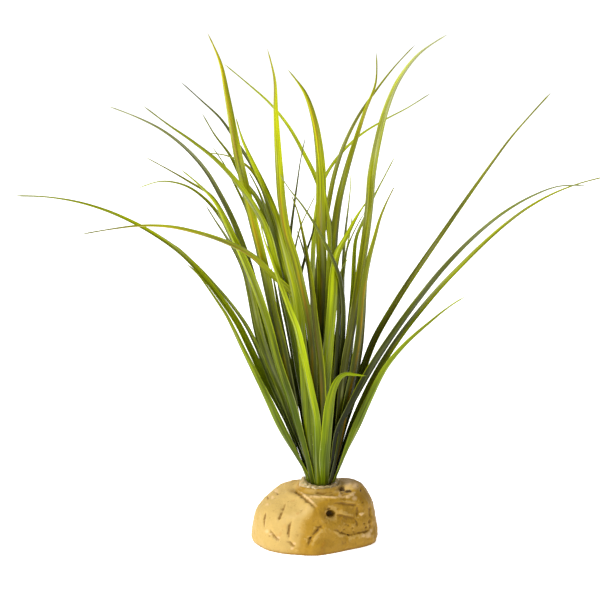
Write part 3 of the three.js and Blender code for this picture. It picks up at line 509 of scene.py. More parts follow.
def bent_strip(tree, given, grid, opened, across, wide, outward, distance, line):
    """The blade's closed mesh, with its across and strip stored on it."""
    spine_place, crosswise, facing = line
    sideways = add_node(tree, "ShaderNodeMath", {0: wide, 1: across}, operation="MULTIPLY")
    sideways = add_node(tree, "ShaderNodeMath", {0: sideways, 1: opened}, operation="MULTIPLY")
    outward = add_node(tree, "ShaderNodeMath", {0: outward, 1: opened}, operation="MULTIPLY")
    beside = {0: crosswise, "Scale": sideways}
    beside = add_node(tree, "ShaderNodeVectorMath", beside, operation="SCALE")
    above = {0: facing, "Scale": outward}
    above = add_node(tree, "ShaderNodeVectorMath", above, operation="SCALE")
    target = add_node(tree, "ShaderNodeVectorMath", {0: beside, 1: above}, operation="ADD")
    target = {0: spine_place, 1: target}
    target = add_node(tree, "ShaderNodeVectorMath", target, operation="ADD")
    strip = {"X": sideways, "Y": distance, "Z": given["Seed"]}
    strip = add_node(tree, "ShaderNodeCombineXYZ", strip)
    mesh = grid
    for name, value, kind in (("across", across, "FLOAT"), ("strip", strip, "FLOAT_VECTOR")):
        mesh = add_node(
            tree,
            "GeometryNodeStoreNamedAttribute",
            {"Geometry": mesh, "Name": name, "Value": value},
            data_type=kind,
            domain="POINT",
        )
    mesh = add_node(tree, "GeometryNodeSetPosition", {"Geometry": mesh, "Position": target})
    return add_node(tree, "GeometryNodeMergeByDistance", {"Geometry": mesh, "Distance": SEAM})


line = (spine_place, crosswise, facing)
measures = (across, wide, outward, distance)
blade_mesh = bent_strip(swept_blade, given, grid, opened, *measures, line)
blade_mesh = add_node(swept_blade, "GeometryNodeSetShadeSmooth", {"Geometry": blade_mesh})
blade_mesh = add_node(swept_blade, "GeometryNodeRealizeInstances", {"Geometry": blade_mesh})
dressed = {"Geometry": blade_mesh, "Material": given["Plastic"]}
blade_mesh = add_node(swept_blade, "GeometryNodeSetMaterial", dressed)
add_node(swept_blade, "NodeGroupOutput", {"Blade": blade_mesh})
print("nodes in the blade's tree:", len(swept_blade.nodes))

# %% [markdown]
# The blades are moulded in polyethylene and then sprayed, so no two look the same. Nearly all are
# darker towards the foot and run out to a yellow green. Some have an amber or brown line along the
# fold, and a few are grey olive. Each finish below is one such plastic, with its colours at five
# distances from the foot, then the colour and the strength of its line.

# %% The sprayed colours
SPRAY_DISTANCES = (0 * MM, 55 * MM, 105 * MM, 150 * MM, 220 * MM)
BLADE_PLASTICS = {
    "lime": ("#3E460C", "#586610", "#707C12", "#868E10", "#8F9816", "#A0A020", 0.15),
    "amber_lined_lime": ("#2A3006", "#3F450A", "#5F660C", "#808610", "#929618", "#A07614", 0.6),
    "spring_green": ("#485612", "#6C7C1C", "#8C9A22", "#949E1E", "#8E9626", "#A6AA40", 0.3),
    "leaf_green": ("#2C360A", "#44520E", "#667214", "#848E26", "#8C9430", "#868628", 0.3),
    "moss_green": ("#222806", "#39420C", "#555D0E", "#7A801A", "#848828", "#706018", 0.45),
    "milky_green": ("#363E12", "#64702C", "#8C9452", "#9AA05C", "#9EA270", "#ACB088", 0.5),
    "brown_olive": ("#1C2006", "#32350A", "#4C4F0E", "#6E7218", "#76792C", "#554010", 0.6),
    "dark_olive": ("#141806", "#262A0E", "#40461A", "#626830", "#71774A", "#747A50", 0.35),
    "straw_green": ("#1E2206", "#383B0C", "#656710", "#767916", "#9A9E54", "#B0B47C", 0.4),
}
# How far the clouds push one colour's end up or down the blade.
CLOUD_PUSH = 60 * MM


def sprayed_colour(tree, distance, clouds, colours):
    """The colour at each distance from the foot, with borders that the clouds push about."""
    pushed = {0: clouds, 1: CLOUD_PUSH, 2: -CLOUD_PUSH / 2}
    pushed = add_node(tree, "ShaderNodeMath", pushed, operation="MULTIPLY_ADD")
    pushed = add_node(tree, "ShaderNodeMath", {0: distance, 1: pushed}, operation="ADD")
    share = {0: pushed, 1: SPRAY_DISTANCES[-1]}
    share = add_node(tree, "ShaderNodeMath", share, operation="DIVIDE")
    ramp = add_node(tree, "ShaderNodeValToRGB", {"Fac": share})
    stops = ramp.color_ramp.elements
    stops[0].position, stops[0].color = 0.0, srgb(colours[0])
    stops[1].position, stops[1].color = 1.0, srgb(colours[-1])
    for place, colour in zip(SPRAY_DISTANCES[1:-1], colours[1:-1]):
        stops.new(place / SPRAY_DISTANCES[-1]).color = srgb(colour)
    return ramp


print("finishes:", len(BLADE_PLASTICS))

# %% [markdown]
# What makes the strip look like real plastic runs along it: fine lines from the embossing roller,
# broader bands where the spray lay thicker, streaks of waxy haze, and a printed line that wanders
# beside the fold. All four are the same kind of noise, drawn out along the blade, and differ only
# in their numbers. So one table and one loop make them.

# %% Patterns that run along the strip
# Each pattern: its grain, how far it is drawn out (small is long), a number that sets it apart
# from the same noise on the other blades, its detail, and what part of it becomes which values.
# The roller's real lines are taken to be finer than a pixel, which is 0.6 mm here, so the lines
# are drawn as coarse as the render needs to show them.
LENGTHWISE = {
    "wander": (6 * MM, 0.12, 40.0, 2.0, (0.0, 1.0), (-0.6, 0.6)),
    "lines": (0.8 * MM, 0.02, 7.0, 2.0, (0.3, 0.7), (0.5, 1.4)),
    "bands": (2.6 * MM, 0.03, 11.0, 1.0, (0.32, 0.68), (0.6, 1.18)),
    "haze": (2.2 * MM, 0.06, 19.0, 3.0, (0.32, 0.58), (0.84, 1.32)),
}


def lengthwise_patterns(tree, strip):
    """The noise and the values of each pattern, by name."""
    noises, values = {}, {}
    for name, (grain, drawn_out, apart, detail, part, becomes) in LENGTHWISE.items():
        stretched = {"Vector": strip, "Scale": (1.0, drawn_out, apart)}
        stretched = add_node(tree, "ShaderNodeMapping", stretched)
        noises[name] = add_node(
            tree,
            "ShaderNodeTexNoise",
            {"Vector": stretched, "Scale": 1 / grain, "Detail": detail},
        )
        limits = zip(("From Min", "From Max", "To Min", "To Max"), part + becomes)
        ranged = {"Value": noises[name], **dict(limits)}
        values[name] = add_node(tree, "ShaderNodeMapRange", ranged)
    return noises, values


print("patterns along the strip:", ", ".join(LENGTHWISE))

# %% [markdown]
# Three masks lay other colours over the spray. The printed line fades in and out along the blade.
# The edges are thin, so light comes through them: that light is painted on as a paler colour. Near
# the foot a few specks of glue and dust cling to the strip. Each is a mask from 0 to 1 that a mix node
# takes as its factor.

# %% Masks for the line, the light through the edges, and the specks
LINE_HALF = (0.05, 0.42)
LINE_CLOUDS = (0.4, 0.62)
EDGE_FROM, EDGE_LIGHT_STRENGTH = 0.78, 0.5
SPECK_APART = 2.6 * MM
SPECK_SIZE = (0.05, 0.14)
SPECK_RARITY, SPECK_STRENGTH = 0.72, 0.8
SPECKS_BETWEEN = (15 * MM, 60 * MM)


def line_mask(tree, across, clouds, wander, strength):
    """1 on the printed line, which wanders beside the fold and fades with the clouds."""
    off_line = add_node(tree, "ShaderNodeMath", {0: across, 1: wander}, operation="ADD")
    off_line = add_node(tree, "ShaderNodeMath", {0: off_line}, operation="ABSOLUTE")
    near = {"Value": off_line, "From Min": LINE_HALF[0], "From Max": LINE_HALF[1]}
    near.update({"To Min": 1.0, "To Max": 0.0})
    near = add_node(tree, "ShaderNodeMapRange", near, interpolation_type="SMOOTHSTEP")
    fading = {"Value": clouds, "From Min": LINE_CLOUDS[0], "From Max": LINE_CLOUDS[1]}
    fading["To Max"] = strength
    fading = add_node(tree, "ShaderNodeMapRange", fading, interpolation_type="SMOOTHSTEP")
    return add_node(tree, "ShaderNodeMath", {0: near, 1: fading}, operation="MULTIPLY")


def edge_light_mask(tree, across):
    """Painted light through the thin strip: 0 inside, and the most at its edges."""
    from_fold = add_node(tree, "ShaderNodeMath", {0: across}, operation="ABSOLUTE")
    thin = {"Value": from_fold, "From Min": EDGE_FROM, "To Max": EDGE_LIGHT_STRENGTH}
    return add_node(tree, "ShaderNodeMapRange", thin, interpolation_type="SMOOTHSTEP")


def speck_mask(tree, strip, distance):
    """1 on the few specks, which fade out up the blade."""
    cells = {"Vector": strip, "Scale": 1 / SPECK_APART}
    cells = add_node(tree, "ShaderNodeTexVoronoi", cells).outputs
    speck = {"Value": cells["Distance"], "From Min": SPECK_SIZE[0], "From Max": SPECK_SIZE[1]}
    speck = add_node(tree, "ShaderNodeMapRange", {**speck, "To Min": 1.0, "To Max": 0.0})
    kept = add_node(tree, "ShaderNodeSeparateColor", {0: cells["Color"]})
    kept = add_node(tree, "ShaderNodeMath", {0: kept, 1: SPECK_RARITY}, operation="GREATER_THAN")
    low = {"Value": distance, "From Min": SPECKS_BETWEEN[0], "From Max": SPECKS_BETWEEN[1]}
    low.update({"To Min": SPECK_STRENGTH, "To Max": 0.0})
    low = add_node(tree, "ShaderNodeMapRange", low)
    for factor in (kept, low):
        speck = add_node(tree, "ShaderNodeMath", {0: speck, 1: factor}, operation="MULTIPLY")
    return speck


print("specks reach up to, mm:", round(SPECKS_BETWEEN[1] / MM))

# %% [markdown]
# The plastic puts these together: spray, printed line and the painted light of the thin edges first,
# then the lines and bands make that darker or lighter, the haze takes or gives it strength of colour,
# and the specks lie on top. Polyethylene shines only softly, so its specular level is low.

# %% The plastics of the blades
CLOUD_SIZE = 35 * MM
PAINTED_EDGE_LIGHT, SPECK_GREY = "#B0B860", "#B4B488"
ROLLER_DEPTH = 0.1 * MM


def blade_plastic(name, colours, line, line_strength):
    """Polyethylene strip, moulded and sprayed: a soft satin skin with fine lengthwise lines."""
    material, tree = new_material(name + "_polyethylene")
    across = add_node(tree, "ShaderNodeAttribute", attribute_name="across").outputs["Fac"]
    strip = add_node(tree, "ShaderNodeAttribute", attribute_name="strip").outputs["Vector"]
    distance = add_node(tree, "ShaderNodeSeparateXYZ", {0: strip}).outputs["Y"]
    clouds = {"Vector": strip, "Scale": 1 / CLOUD_SIZE, "Detail": 2.0}
    clouds = add_node(tree, "ShaderNodeTexNoise", clouds)
    noises, values = lengthwise_patterns(tree, strip)
    printed = line_mask(tree, across, clouds, values["wander"], line_strength)

    colour = sprayed_colour(tree, distance, clouds, colours)
    # The second mix is painted light: the thin edges look paler, as light comes through them.
    for mask, hex_code in ((printed, line), (edge_light_mask(tree, across), PAINTED_EDGE_LIGHT)):
        mix = {"Factor": mask, "A": colour, "B": srgb(hex_code)}
        colour = add_node(tree, "ShaderNodeMix", mix, data_type="RGBA").outputs["Result"]
    for pattern in ("lines", "bands"):
        shaded = {0: colour, "Scale": values[pattern]}
        colour = add_node(tree, "ShaderNodeVectorMath", shaded, operation="SCALE")
    hazy = {"Color": colour, "Saturation": values["haze"]}
    colour = add_node(tree, "ShaderNodeHueSaturation", hazy)
    mix = {"Factor": speck_mask(tree, strip, distance), "A": colour, "B": srgb(SPECK_GREY)}
    colour = add_node(tree, "ShaderNodeMix", mix, data_type="RGBA").outputs["Result"]

    skin = {"Base Color": colour, "IOR": 1.51, "Specular IOR Level": 0.11, "Roughness": 0.36}
    relief = {"Height": noises["lines"], "Strength": 0.25, "Distance": ROLLER_DEPTH}
    skin["Normal"] = add_node(tree, "ShaderNodeBump", relief)
    surface = add_node(tree, "ShaderNodeBsdfPrincipled", skin)
    add_node(tree, "ShaderNodeOutputMaterial", {"Surface": surface})
    return material


plastics = {}
for name, (*colours, line, line_strength) in BLADE_PLASTICS.items():
    plastics[name] = blade_plastic(name, colours, line, line_strength)
print("plastics:", ", ".join(plastics))

# %% [markdown]
# Which blade is made of which plastic is read off the real tuft, blade by blade. The numbers are
# the CAD model's: they run from the left margin over the middle to the right margin, with the
# short and the hidden blades last.

# %% Share out the plastics
PLASTIC_OF_BLADES = {
    "lime": [16, 19, 43, 46],
    "amber_lined_lime": [4, 15, 17, 18, 29, 34],
    "spring_green": [1, 2, 5, 13, 24, 35, 41, 42, 50],
    "leaf_green": [7, 10, 11, 22, 31, 33, 48, 52],
    "moss_green": [6, 12, 36, 38, 40, 51],
    "milky_green": [3, 8, 9, 23, 32],
    "brown_olive": [25, 26, 27, 28, 37, 47, 49],
    "dark_olive": [14, 20, 21, 39, 44, 45, 53],
    "straw_green": [30],
}
plastic_of = {}
for plastic, numbers in PLASTIC_OF_BLADES.items():
    for number in numbers:
        plastic_of[f"blade_{number:02d}"] = plastic
print("blades with a plastic:", len(plastic_of))

# %% [markdown]
# Each blade's line becomes a chain of points with a half width and a crosswise direction, and the
# tree sweeps the strip along it. A modifier's inputs are set by the sockets' identifiers, before
# the object is evaluated for the first time. The evaluated result is then kept as a plain mesh,
# so that each blade is an object of its own that stands for its CAD node.

# %% Sweep every blade
RING_STEP = 2.4 * MM
SEED_STEP = 0.37


def spine_object(name, middles, half_widths, sides):
    """The blade's line as a row of points that know their width and crosswise direction."""
    mesh = bpy.data.meshes.new(name + "_spine")
    links = [(i, i + 1) for i in range(len(middles) - 1)]
    mesh.from_pydata([tuple(p) for p in middles], links, [])
    widths = mesh.attributes.new("half_width", "FLOAT", "POINT")
    widths.data.foreach_set("value", np.array(half_widths, dtype=np.float32))
    directions = mesh.attributes.new("side", "FLOAT_VECTOR", "POINT")
    directions.data.foreach_set("vector", np.array(sides, dtype=np.float32).ravel())
    spine = bpy.data.objects.new(name + "_spine", mesh)
    bpy.context.collection.objects.link(spine)
    return spine


def swept(name, seed):
    """The finished blade as a plain mesh object that stands for its CAD node."""
    spine = spine_object(name, *blade_lines[name])
    modifier = spine.modifiers.new("sweep", "NODES")
    modifier.node_group = swept_blade
    values = {
        "Rings along": round(lengths[name] / RING_STEP),
        "Seed": seed * SEED_STEP,
        "Plastic": plastics[plastic_of[name]],
    }
    for item in swept_blade.interface.items_tree:
        if item.name in values:
            modifier[item.identifier] = values[item.name]
    evaluated = spine.evaluated_get(bpy.context.evaluated_depsgraph_get())
    mesh = bpy.data.meshes.new_from_object(evaluated)
    mesh.name = name + "_plastic"
    bpy.data.objects.remove(spine)
    blade = bpy.data.objects.new(name + "_plastic", mesh)
    bpy.context.collection.objects.link(blade)
    return blade


triangles = 0
for index, name in enumerate(blade_names):
    blade = swept(name, index + 1)
    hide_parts(name)
    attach(blade, "root")
    triangles += 2 * len(blade.data.polygons)
print("triangles in the blades:", triangles)

# %% [markdown]
# The base is a rock cast in polyester resin from a carved master: flat worn faces, chisel marks,
# ledges and pits. Its CAD solid has the faces and ledges, but only in steps of a few millimetres.
# Here a copy of it is remeshed to half a millimetre and smoothed, which melts its facets, and the
# fine marks are then cut into that mesh, so they catch the light like the real ones.

# %% A fine mesh of the rock
ROCK_CELL = 0.55 * MM
FACET_SMOOTHING = 16
FLAT_FOOT = 0.6 * MM


def fine_rock():
    """The rock's solid as an even, smooth mesh."""
    merged = merged_mesh("rock_base")
    mesh = bpy.data.meshes.new("rock_solid")
    merged.to_mesh(mesh)
    merged.free()
    rock = bpy.data.objects.new("rock_cast", mesh)
    bpy.context.collection.objects.link(rock)
    remesh = rock.modifiers.new("even_mesh", "REMESH")
    remesh.mode = "VOXEL"
    remesh.voxel_size = ROCK_CELL
    smooth = rock.modifiers.new("melt_facets", "SMOOTH")
    smooth.factor = 0.5
    smooth.iterations = FACET_SMOOTHING
    evaluated = rock.evaluated_get(bpy.context.evaluated_depsgraph_get())
    fine = bpy.data.meshes.new_from_object(evaluated)
    rock.modifiers.clear()
    rock.data = fine
    bpy.data.meshes.remove(mesh)
    fine.name = "rock_cast"
    return rock


rock = fine_rock()
points = np.zeros(len(rock.data.vertices) * 3, np.float32)
rock.data.vertices.foreach_get("co", points)
points = points.reshape(-1, 3).astype(float)
points[points[:, 2] < FLAT_FOOT, 2] = 0.0
normals = np.array([v.normal[:] for v in rock.data.vertices])
print("points in the rock:", len(points))

# %% [markdown]
# The marks on the front are drawn as somebody sees them from the camera: points across and up, in
# millimetres, on an upright plane through the rock's middle. A mark is a groove, or with a
# negative depth a ridge, and the rock may also step back on the right-hand side of its line. They
# could be sculpted by hand as well, but as lines with sizes they can be moved and read.

# %% The marks on the front
# Each mark: its width and depth, how far the rock steps back beside it, and its line.
FRONT_MARKS = [
    ("shoulder", 1.2, 0.8, -0.8, [(-13.5, 31.3), (-10, 28), (-7, 25.2), (-3.2, 22), (0.7, 18.7)]),
    ("shoulder ridge", 0.8, -0.5, 0, [(-11.8, 31.2), (-8.4, 28.6), (-5.4, 26.2), (-1.8, 22.9), (2, 19.4)]),
    ("below the shoulder", 1.5, 0.0, 0.3, [(0.7, 18.7), (2.4, 13), (4.4, 8)]),
    ("crest", 1.0, -0.8, 0, [(-9.5, 28.8), (-5, 27), (0.3, 26.4), (9.7, 26), (16.1, 26)]),
    ("crest on the right", 1.0, -0.7, 0, [(14, 26), (20.4, 26.7), (23, 28), (25, 29.6)]),
    ("gutter floor", 1.3, 0.9, 0, [(-2, 29.8), (3, 29.3), (8, 29.1), (13.6, 28.9)]),
    # Painted shadow: the wash of this thin groove paints the shadow line just behind the crest.
    ("gutter line", 0.5, 0.6, 0, [(0.5, 28.9), (7.5, 28.2), (14.2, 27.6)]),
    ("gutter's end", 0.6, -0.4, 0, [(14.6, 31.8), (14.6, 27.4)]),
    # Painted shadow: this mark's wash paints the dark line that the glue's border casts on the rock.
    ("under the glue", 0.6, 0.4, 0, [(-4, 32.2), (3, 32.4), (9, 32.7), (15, 33.2)]),
    ("beside the hole", 0.6, 0.9, 0, [(18, 29.6), (20.4, 30), (23, 30.2)]),
    ("left end", 0.9, 0.6, 0, [(-30.8, 17.3), (-31.8, 13.5), (-32.3, 10), (-32.1, 6)]),
    ("left face", 1.0, 0.8, 0, [(-18.4, 22.9), (-20.7, 17.7), (-22.2, 13.5), (-22.9, 10.7)]),
    ("middle of left face", 1.0, 0.9, 0, [(-14.6, 11), (-16.3, 7), (-16.9, 2), (-16.5, -2.2)]),
    ("low on the left", 0.9, 0.8, 0.5, [(-28, 5.1), (-26.7, 1.8), (-24.2, -1), (-22, -2.4)]),
    ("foot of left face", 0.9, 0.8, 0.5, [(-18.2, -2.8), (-15.6, -3.6), (-13.9, -5.7), (-12, -5.9)]),
    ("left tick", 0.6, 0.7, 0, [(-29.8, 27.2), (-29.3, 24.6)]),
    ("second left tick", 0.6, 0.5, 0, [(-25.6, 29.6), (-22.6, 28.4)]),
    ("prow scratch", 1.1, 1.0, -0.4, [(-4.6, -6), (-2.9, -1.5), (-0.6, 1.8), (1.6, 4.8), (4.8, 8.4)]),
    ("prow notch", 0.7, 0.5, 0, [(0.3, 7), (4.5, 6.2)]),
    ("upper ledge", 0.8, 0.6, 0.9, [(11, 22.4), (16, 22.7), (20.4, 21.8), (24.7, 21.5), (26.4, 20.6)]),
    ("upper block's side", 0.8, 0.6, 0.4, [(26, 20.6), (26.3, 17), (25.8, 13.6)]),
    ("small ledge", 0.6, -0.5, 0, [(26.8, 15.4), (30, 15.9)]),
    ("middle ledge", 0.8, 0.6, 0.8, [(12.4, 14.9), (15.7, 14.5), (18.7, 13.6), (25, 12.9)]),
    ("lower block's side", 0.7, 0.6, 0, [(25.1, 12), (25.8, 9.6), (26.1, 7)]),
    ("lip of the lower ledge", 0.8, -0.15, 0, [(4.8, 6.8), (7.4, 6), (9.6, 4.2), (12.6, 3.2), (15, 1.6)]),
    ("lower crack", 0.8, 0.7, -0.6, [(11, 5), (13.4, 4.3), (15, 2.6), (17.4, 2.4), (20.4, 1.3)]),
    ("middle of lower crack", 0.8, 0.6, -0.6, [(19.6, 1.6), (22.6, 1.4), (25.6, 2.6)]),
    ("end of lower crack", 0.8, 0.7, -0.7, [(25, 2.8), (28, 2.8), (30.8, 3.6), (33.6, 5.4)]),
    ("right end groove", 0.9, 1.0, 0, [(33.8, 12.6), (34.1, 9), (33.4, 5.6)]),
    ("behind the right end", 0.8, 0.5, 0, [(33.9, 21), (33.5, 17), (33.8, 12.6)]),
]
# Each pit: where it shows, how wide and how high it looks, and how deep it is.
# A pit is later painted dark: wash, and painted shade for the depth of the hole that the mesh can't show.
FRONT_PITS = [
    (9.5, 15.6, 2.1, 1.5, 3.2), (8.6, 18.3, 1.9, 1.1, 0.7), (16.3, 31.6, 1.8, 2.4, 1.3),
    (19.6, 30.6, 3.2, 1.1, 1.1), (28, 30.9, 0.5, 0.9, 0.7), (26.2, 33.4, 0.6, 0.5, 0.5),
    (-3.3, -0.8, 0.9, 0.8, 0.8), (-2.4, -2.4, 0.6, 0.5, 0.5), (4.2, 6.3, 0.7, 0.5, 0.6),
    (16.4, 3.4, 0.7, 0.6, 0.7), (18.2, 5.2, 0.8, 0.6, 0.6), (20.6, 7.6, 0.7, 0.7, 0.5),
    (20.4, 1.7, 0.8, 0.6, 0.8), (22.8, 5.8, 0.7, 0.6, 0.6), (18.8, 8.2, 0.6, 0.6, 0.4),
    (23.6, 3.6, 0.6, 0.5, 0.5), (29.2, 23, 0.7, 0.6, 0.5), (14, 18.5, 0.7, 0.6, 0.4),
    (30.5, 9, 0.7, 0.6, 0.5), (12.4, 9.4, 0.6, 0.5, 0.4), (33, -1, 0.8, 0.6, 0.3),
    (31.6, 6.2, 0.8, 0.6, 0.6), (7, 9.8, 0.6, 0.5, 0.4), (-29, 0.4, 0.7, 0.6, 0.5),
]
# Where paler resin shows on broken places: across, up and how far round.
FRONT_CHIPS = [
    (-30.3, 3.8, 1.6), (-28.2, 2.0, 1.2), (-23.2, -0.4, 1.6), (-13.2, -4.2, 1.4), (-14.6, -7.4, 1.3),
    (-26.6, 26.2, 1.4), (-24.4, 30.6, 1.8), (-29.8, 21.4, 1.3), (20, 35.4, 3.2), (24.6, 33.8, 2.8),
    (28.4, 15.2, 1.3), (32.6, 1.6, 2.4), (34.4, 4.4, 1.4), (29.4, 1.2, 1.6), (-0.4, 27.2, 1.4),
    (15, 27.2, 1.4), (-8, 34, 3.0), (24, 25.4, 2.0),
]
print("marks, pits and chips:", len(FRONT_MARKS), len(FRONT_PITS), len(FRONT_CHIPS))

# %% [markdown]
# The rock's back can't be seen, so a few cracks and pits like those on the front are drawn on it,
# as they would show from a second eye behind the rock.

# %% The marks on the back
BACK_EYE = Vector((60.0, 900.0, 260.0)) * MM
LONG_BACK_CRACK = [(31, 15), (24, 17), (14, 19), (6, 16), (-4, 17), (-13, 13), (-24, 15)]
BACK_MARKS = [
    ("long back crack", 0.8, 0.8, 0.7, LONG_BACK_CRACK),
    ("upper back ledge", 0.8, 0.6, 0.7, [(18, 27), (9, 29), (-2, 27.5), (-12, 29.5)]),
    ("back scratch", 0.9, 0.7, 0, [(-12, 24), (-14, 18), (-13, 9), (-15, 3)]),
    ("second back scratch", 0.9, 0.7, 0, [(9, 12), (7, 7), (8, 1), (5, -3)]),
    ("low back crack", 0.8, 0.7, -0.5, [(31, 6), (25, 3), (18, 6), (12, 4)]),
    ("third back scratch", 0.9, 0.6, 0, [(26, 26), (24, 20), (27, 13)]),
]
BACK_PITS = [
    (-8, 21, 2.2, 1.7, 2.2), (18, 12, 1.4, 1.2, 1.2), (-20, 8, 1.2, 1.0, 0.9),
    (4, 8, 0.8, 0.7, 0.6), (28, 9, 0.9, 0.8, 0.7),
]
print("marks and pits on the back:", len(BACK_MARKS), len(BACK_PITS))

# %% [markdown]
# Every point of the rock is projected from the eye onto the upright plane, where its distance to
# the drawn lines is easy to measure. Only points that face the eye take a mark, so that nothing
# comes out on the other side.

# %% How a mark is seen
FACING_FADE = 0.2


def seen_from(eye):
    """Where each point of the rock shows on the upright plane, in mm, and if it faces the eye."""
    eye_place = np.array(eye)
    to_eye = eye_place - points
    reach = -eye_place[1] / (points[:, 1] - eye_place[1])
    places = eye_place[[0, 2]] + (points[:, [0, 2]] - eye_place[[0, 2]]) * reach[:, None]
    facing = (normals * to_eye).sum(axis=1) / np.linalg.norm(to_eye, axis=1)
    return places / MM, np.clip(facing / FACING_FADE, 0, 1)


def beside_line(places, line):
    """How far each place is from a line, its side of it (1 is right), and how far along, 0 to 1."""
    nearest = np.full(len(places), 1e3)
    side = np.zeros(len(places))
    share = np.zeros(len(places))
    for index, (start, end) in enumerate(zip(line, line[1:])):
        step = np.subtract(end, start)
        along = np.clip((places - start) @ step / (step @ step), 0, 1)
        off = places - (start + along[:, None] * step)
        distance = np.linalg.norm(off, axis=1)
        closer = distance < nearest
        nearest[closer] = distance[closer]
        side[closer] = np.sign(off[:, 0] * step[1] - off[:, 1] * step[0])[closer]
        share[closer] = (index + along[closer]) / (len(line) - 1)
    return nearest, side, share


seen = seen_from(EYE)[1] > 0
print("share of the rock that the camera sees:", round(float(seen.mean()), 2))

# %% [markdown]
# Before the marks are cut, the rock gets a low lip round its socket, on which the glue rests. It
# is full beside the socket and fades outwards, and only what already lies high up is raised.

# %% The lip round the socket
LIP_TOP = 35.3 * MM
LIP_REACH = (10.8 * MM, 15.5 * MM)
LIP_ABOVE = 30.5 * MM

from_socket = np.hypot(points[:, 0] - tuft_foot.x, points[:, 1] - tuft_foot.y)
in_lip = np.clip((LIP_REACH[1] - from_socket) / (LIP_REACH[1] - LIP_REACH[0]), 0, 1)
in_lip = in_lip**2 * (3 - 2 * in_lip) * (points[:, 2] > LIP_ABOVE)
points[:, 2] += in_lip * np.maximum(LIP_TOP - points[:, 2], 0)
print("points in the socket's lip:", int((in_lip > 0).sum()))

# %% [markdown]
# Now the marks are cut. A groove has a soft bell-shaped section that narrows to both ends, and
# noise makes it ragged. What each point gets is kept as well: wash where a groove can hold paint,
# which on the lines under the glue and behind the crest is painted shadow, chipped on ridges and
# broken places, and in the holes dark wash with painted shade. The paint follows these later.

# %% Cut the marks
STEP_SHARPNESS = 0.45
STEP_REACH = 4.2
RAGGED = 0.45
RAGGED_GRAIN = 3.0 * MM
RAGGED_WAYS = (0.6, 1.0)
TAPER, END_SHARE, END_WIDTH = 3.5, 0.15, 0.4
UNEVEN_DEPTH = 0.6
PIT_STEEPNESS = 1.5
FULL_WASH, FULL_RUB = 0.6, 0.5

uneven = np.array([noise.fractal(Vector(p) / RAGGED_GRAIN, 0.8, 2.0, 3) for p in points])
sunk = np.zeros(len(points))
wash_and_shade = np.zeros(len(points))
pit_wash_and_shade = np.zeros(len(points))
chipped = np.zeros(len(points))
# Each side: its eye, 1 or -1 because left and right swap from behind, and what is cut there.
sides_of_rock = (
    (EYE, 1, FRONT_MARKS, FRONT_PITS, FRONT_CHIPS),
    (BACK_EYE, -1, BACK_MARKS, BACK_PITS, []),
)
for eye, handed, marks, pits, chips in sides_of_rock:
    places, facing = seen_from(eye)
    places = places + RAGGED * uneven[:, None] * RAGGED_WAYS
    for _, width, depth, step, line in marks:
        distance, side, share = beside_line(places, line)
        taper = np.clip(np.minimum(share, 1 - share) * TAPER + END_SHARE, 0, 1)
        ends = taper * facing
        narrowed = width * (END_WIDTH + (1 - END_WIDTH) * taper)
        groove = np.exp(-((distance / narrowed) ** 2))
        groove *= ends * (1 + UNEVEN_DEPTH * uneven)
        beyond = 0.5 + 0.5 * np.tanh(handed * side * distance / STEP_SHARPNESS)
        stepped = beyond * np.exp(-((distance / STEP_REACH) ** 2)) * ends
        sunk += (depth * groove + step * stepped) * MM
        # The wash of two marks is painted shadow: the lines under the glue and behind the crest.
        wash_and_shade = np.maximum(wash_and_shade, groove * min(max(depth, 0) / FULL_WASH, 1))
        chipped = np.maximum(chipped, groove * min(max(-depth, 0) / FULL_RUB, 1))
    for across, up, wide, high, depth in pits:
        off = (places - (across, up)) / (wide, high)
        pit = np.exp(-((off**2).sum(axis=1) ** PIT_STEEPNESS)) * facing
        sunk += depth * MM * pit
        # Pits take dark wash together with painted shade.
        pit_wash_and_shade = np.maximum(pit_wash_and_shade, pit * min(1, depth))
    for across, up, size in chips:
        off = (places - (across, up)) / size
        chipped = np.maximum(chipped, np.exp(-(off**2).sum(axis=1)) * facing)
print("deepest mark, mm:", round(float(sunk.max()) / MM, 2))

# %% [markdown]
# Between the marks the cast is lumpy, with shallow chips and a sandy grain. Three noises of
# different sizes do that, from centimetres down to grains of a millimetre. What lies deeper than
# its surroundings then holds the brown wash that the maker wiped off the high places: comparing
# each point's depth with the average around it finds those hollows.

# %% Lumps, chips and grain
# Each noise: its size across the surface and its height. Real sand is finer than a pixel, so
# the grain is drawn as coarse as the render needs to show it.
RELIEFS = {
    "lumps": (12 * MM, 0.34 * MM),
    "chips": (4.5 * MM, 0.25 * MM),
    "grain": (1.3 * MM, 0.09 * MM),
}
HOLLOW_DEPTH = 0.25 * MM
HOLLOW_ROUNDS = 30

for size, height in RELIEFS.values():
    relief = [noise.fractal(Vector(p) / size, 0.9, 2.1, 3) for p in points]
    sunk += height * np.array(relief)

edges = np.zeros(len(rock.data.edges) * 2, np.int32)
rock.data.edges.foreach_get("vertices", edges)
edges = edges.reshape(-1, 2)
neighbours = np.bincount(edges.ravel(), minlength=len(points))
around = sunk.copy()
for _ in range(HOLLOW_ROUNDS):
    total = np.bincount(edges[:, 0], around[edges[:, 1]], len(points))
    total += np.bincount(edges[:, 1], around[edges[:, 0]], len(points))
    around = total / neighbours
hollow = np.clip((sunk - around) / HOLLOW_DEPTH, -1, 1)
print("points in a hollow:", int((hollow > 0.5).sum()))

# %% [markdown]
# Last comes painted light: cream is laid where the surface faces the key light, from the left and
# above, so that this side looks lit. On the front the cream thins out along the line where the left
# face turns into the prow. Then all the depths go into the mesh, and what the paint needs to know
# is stored with it as attributes.

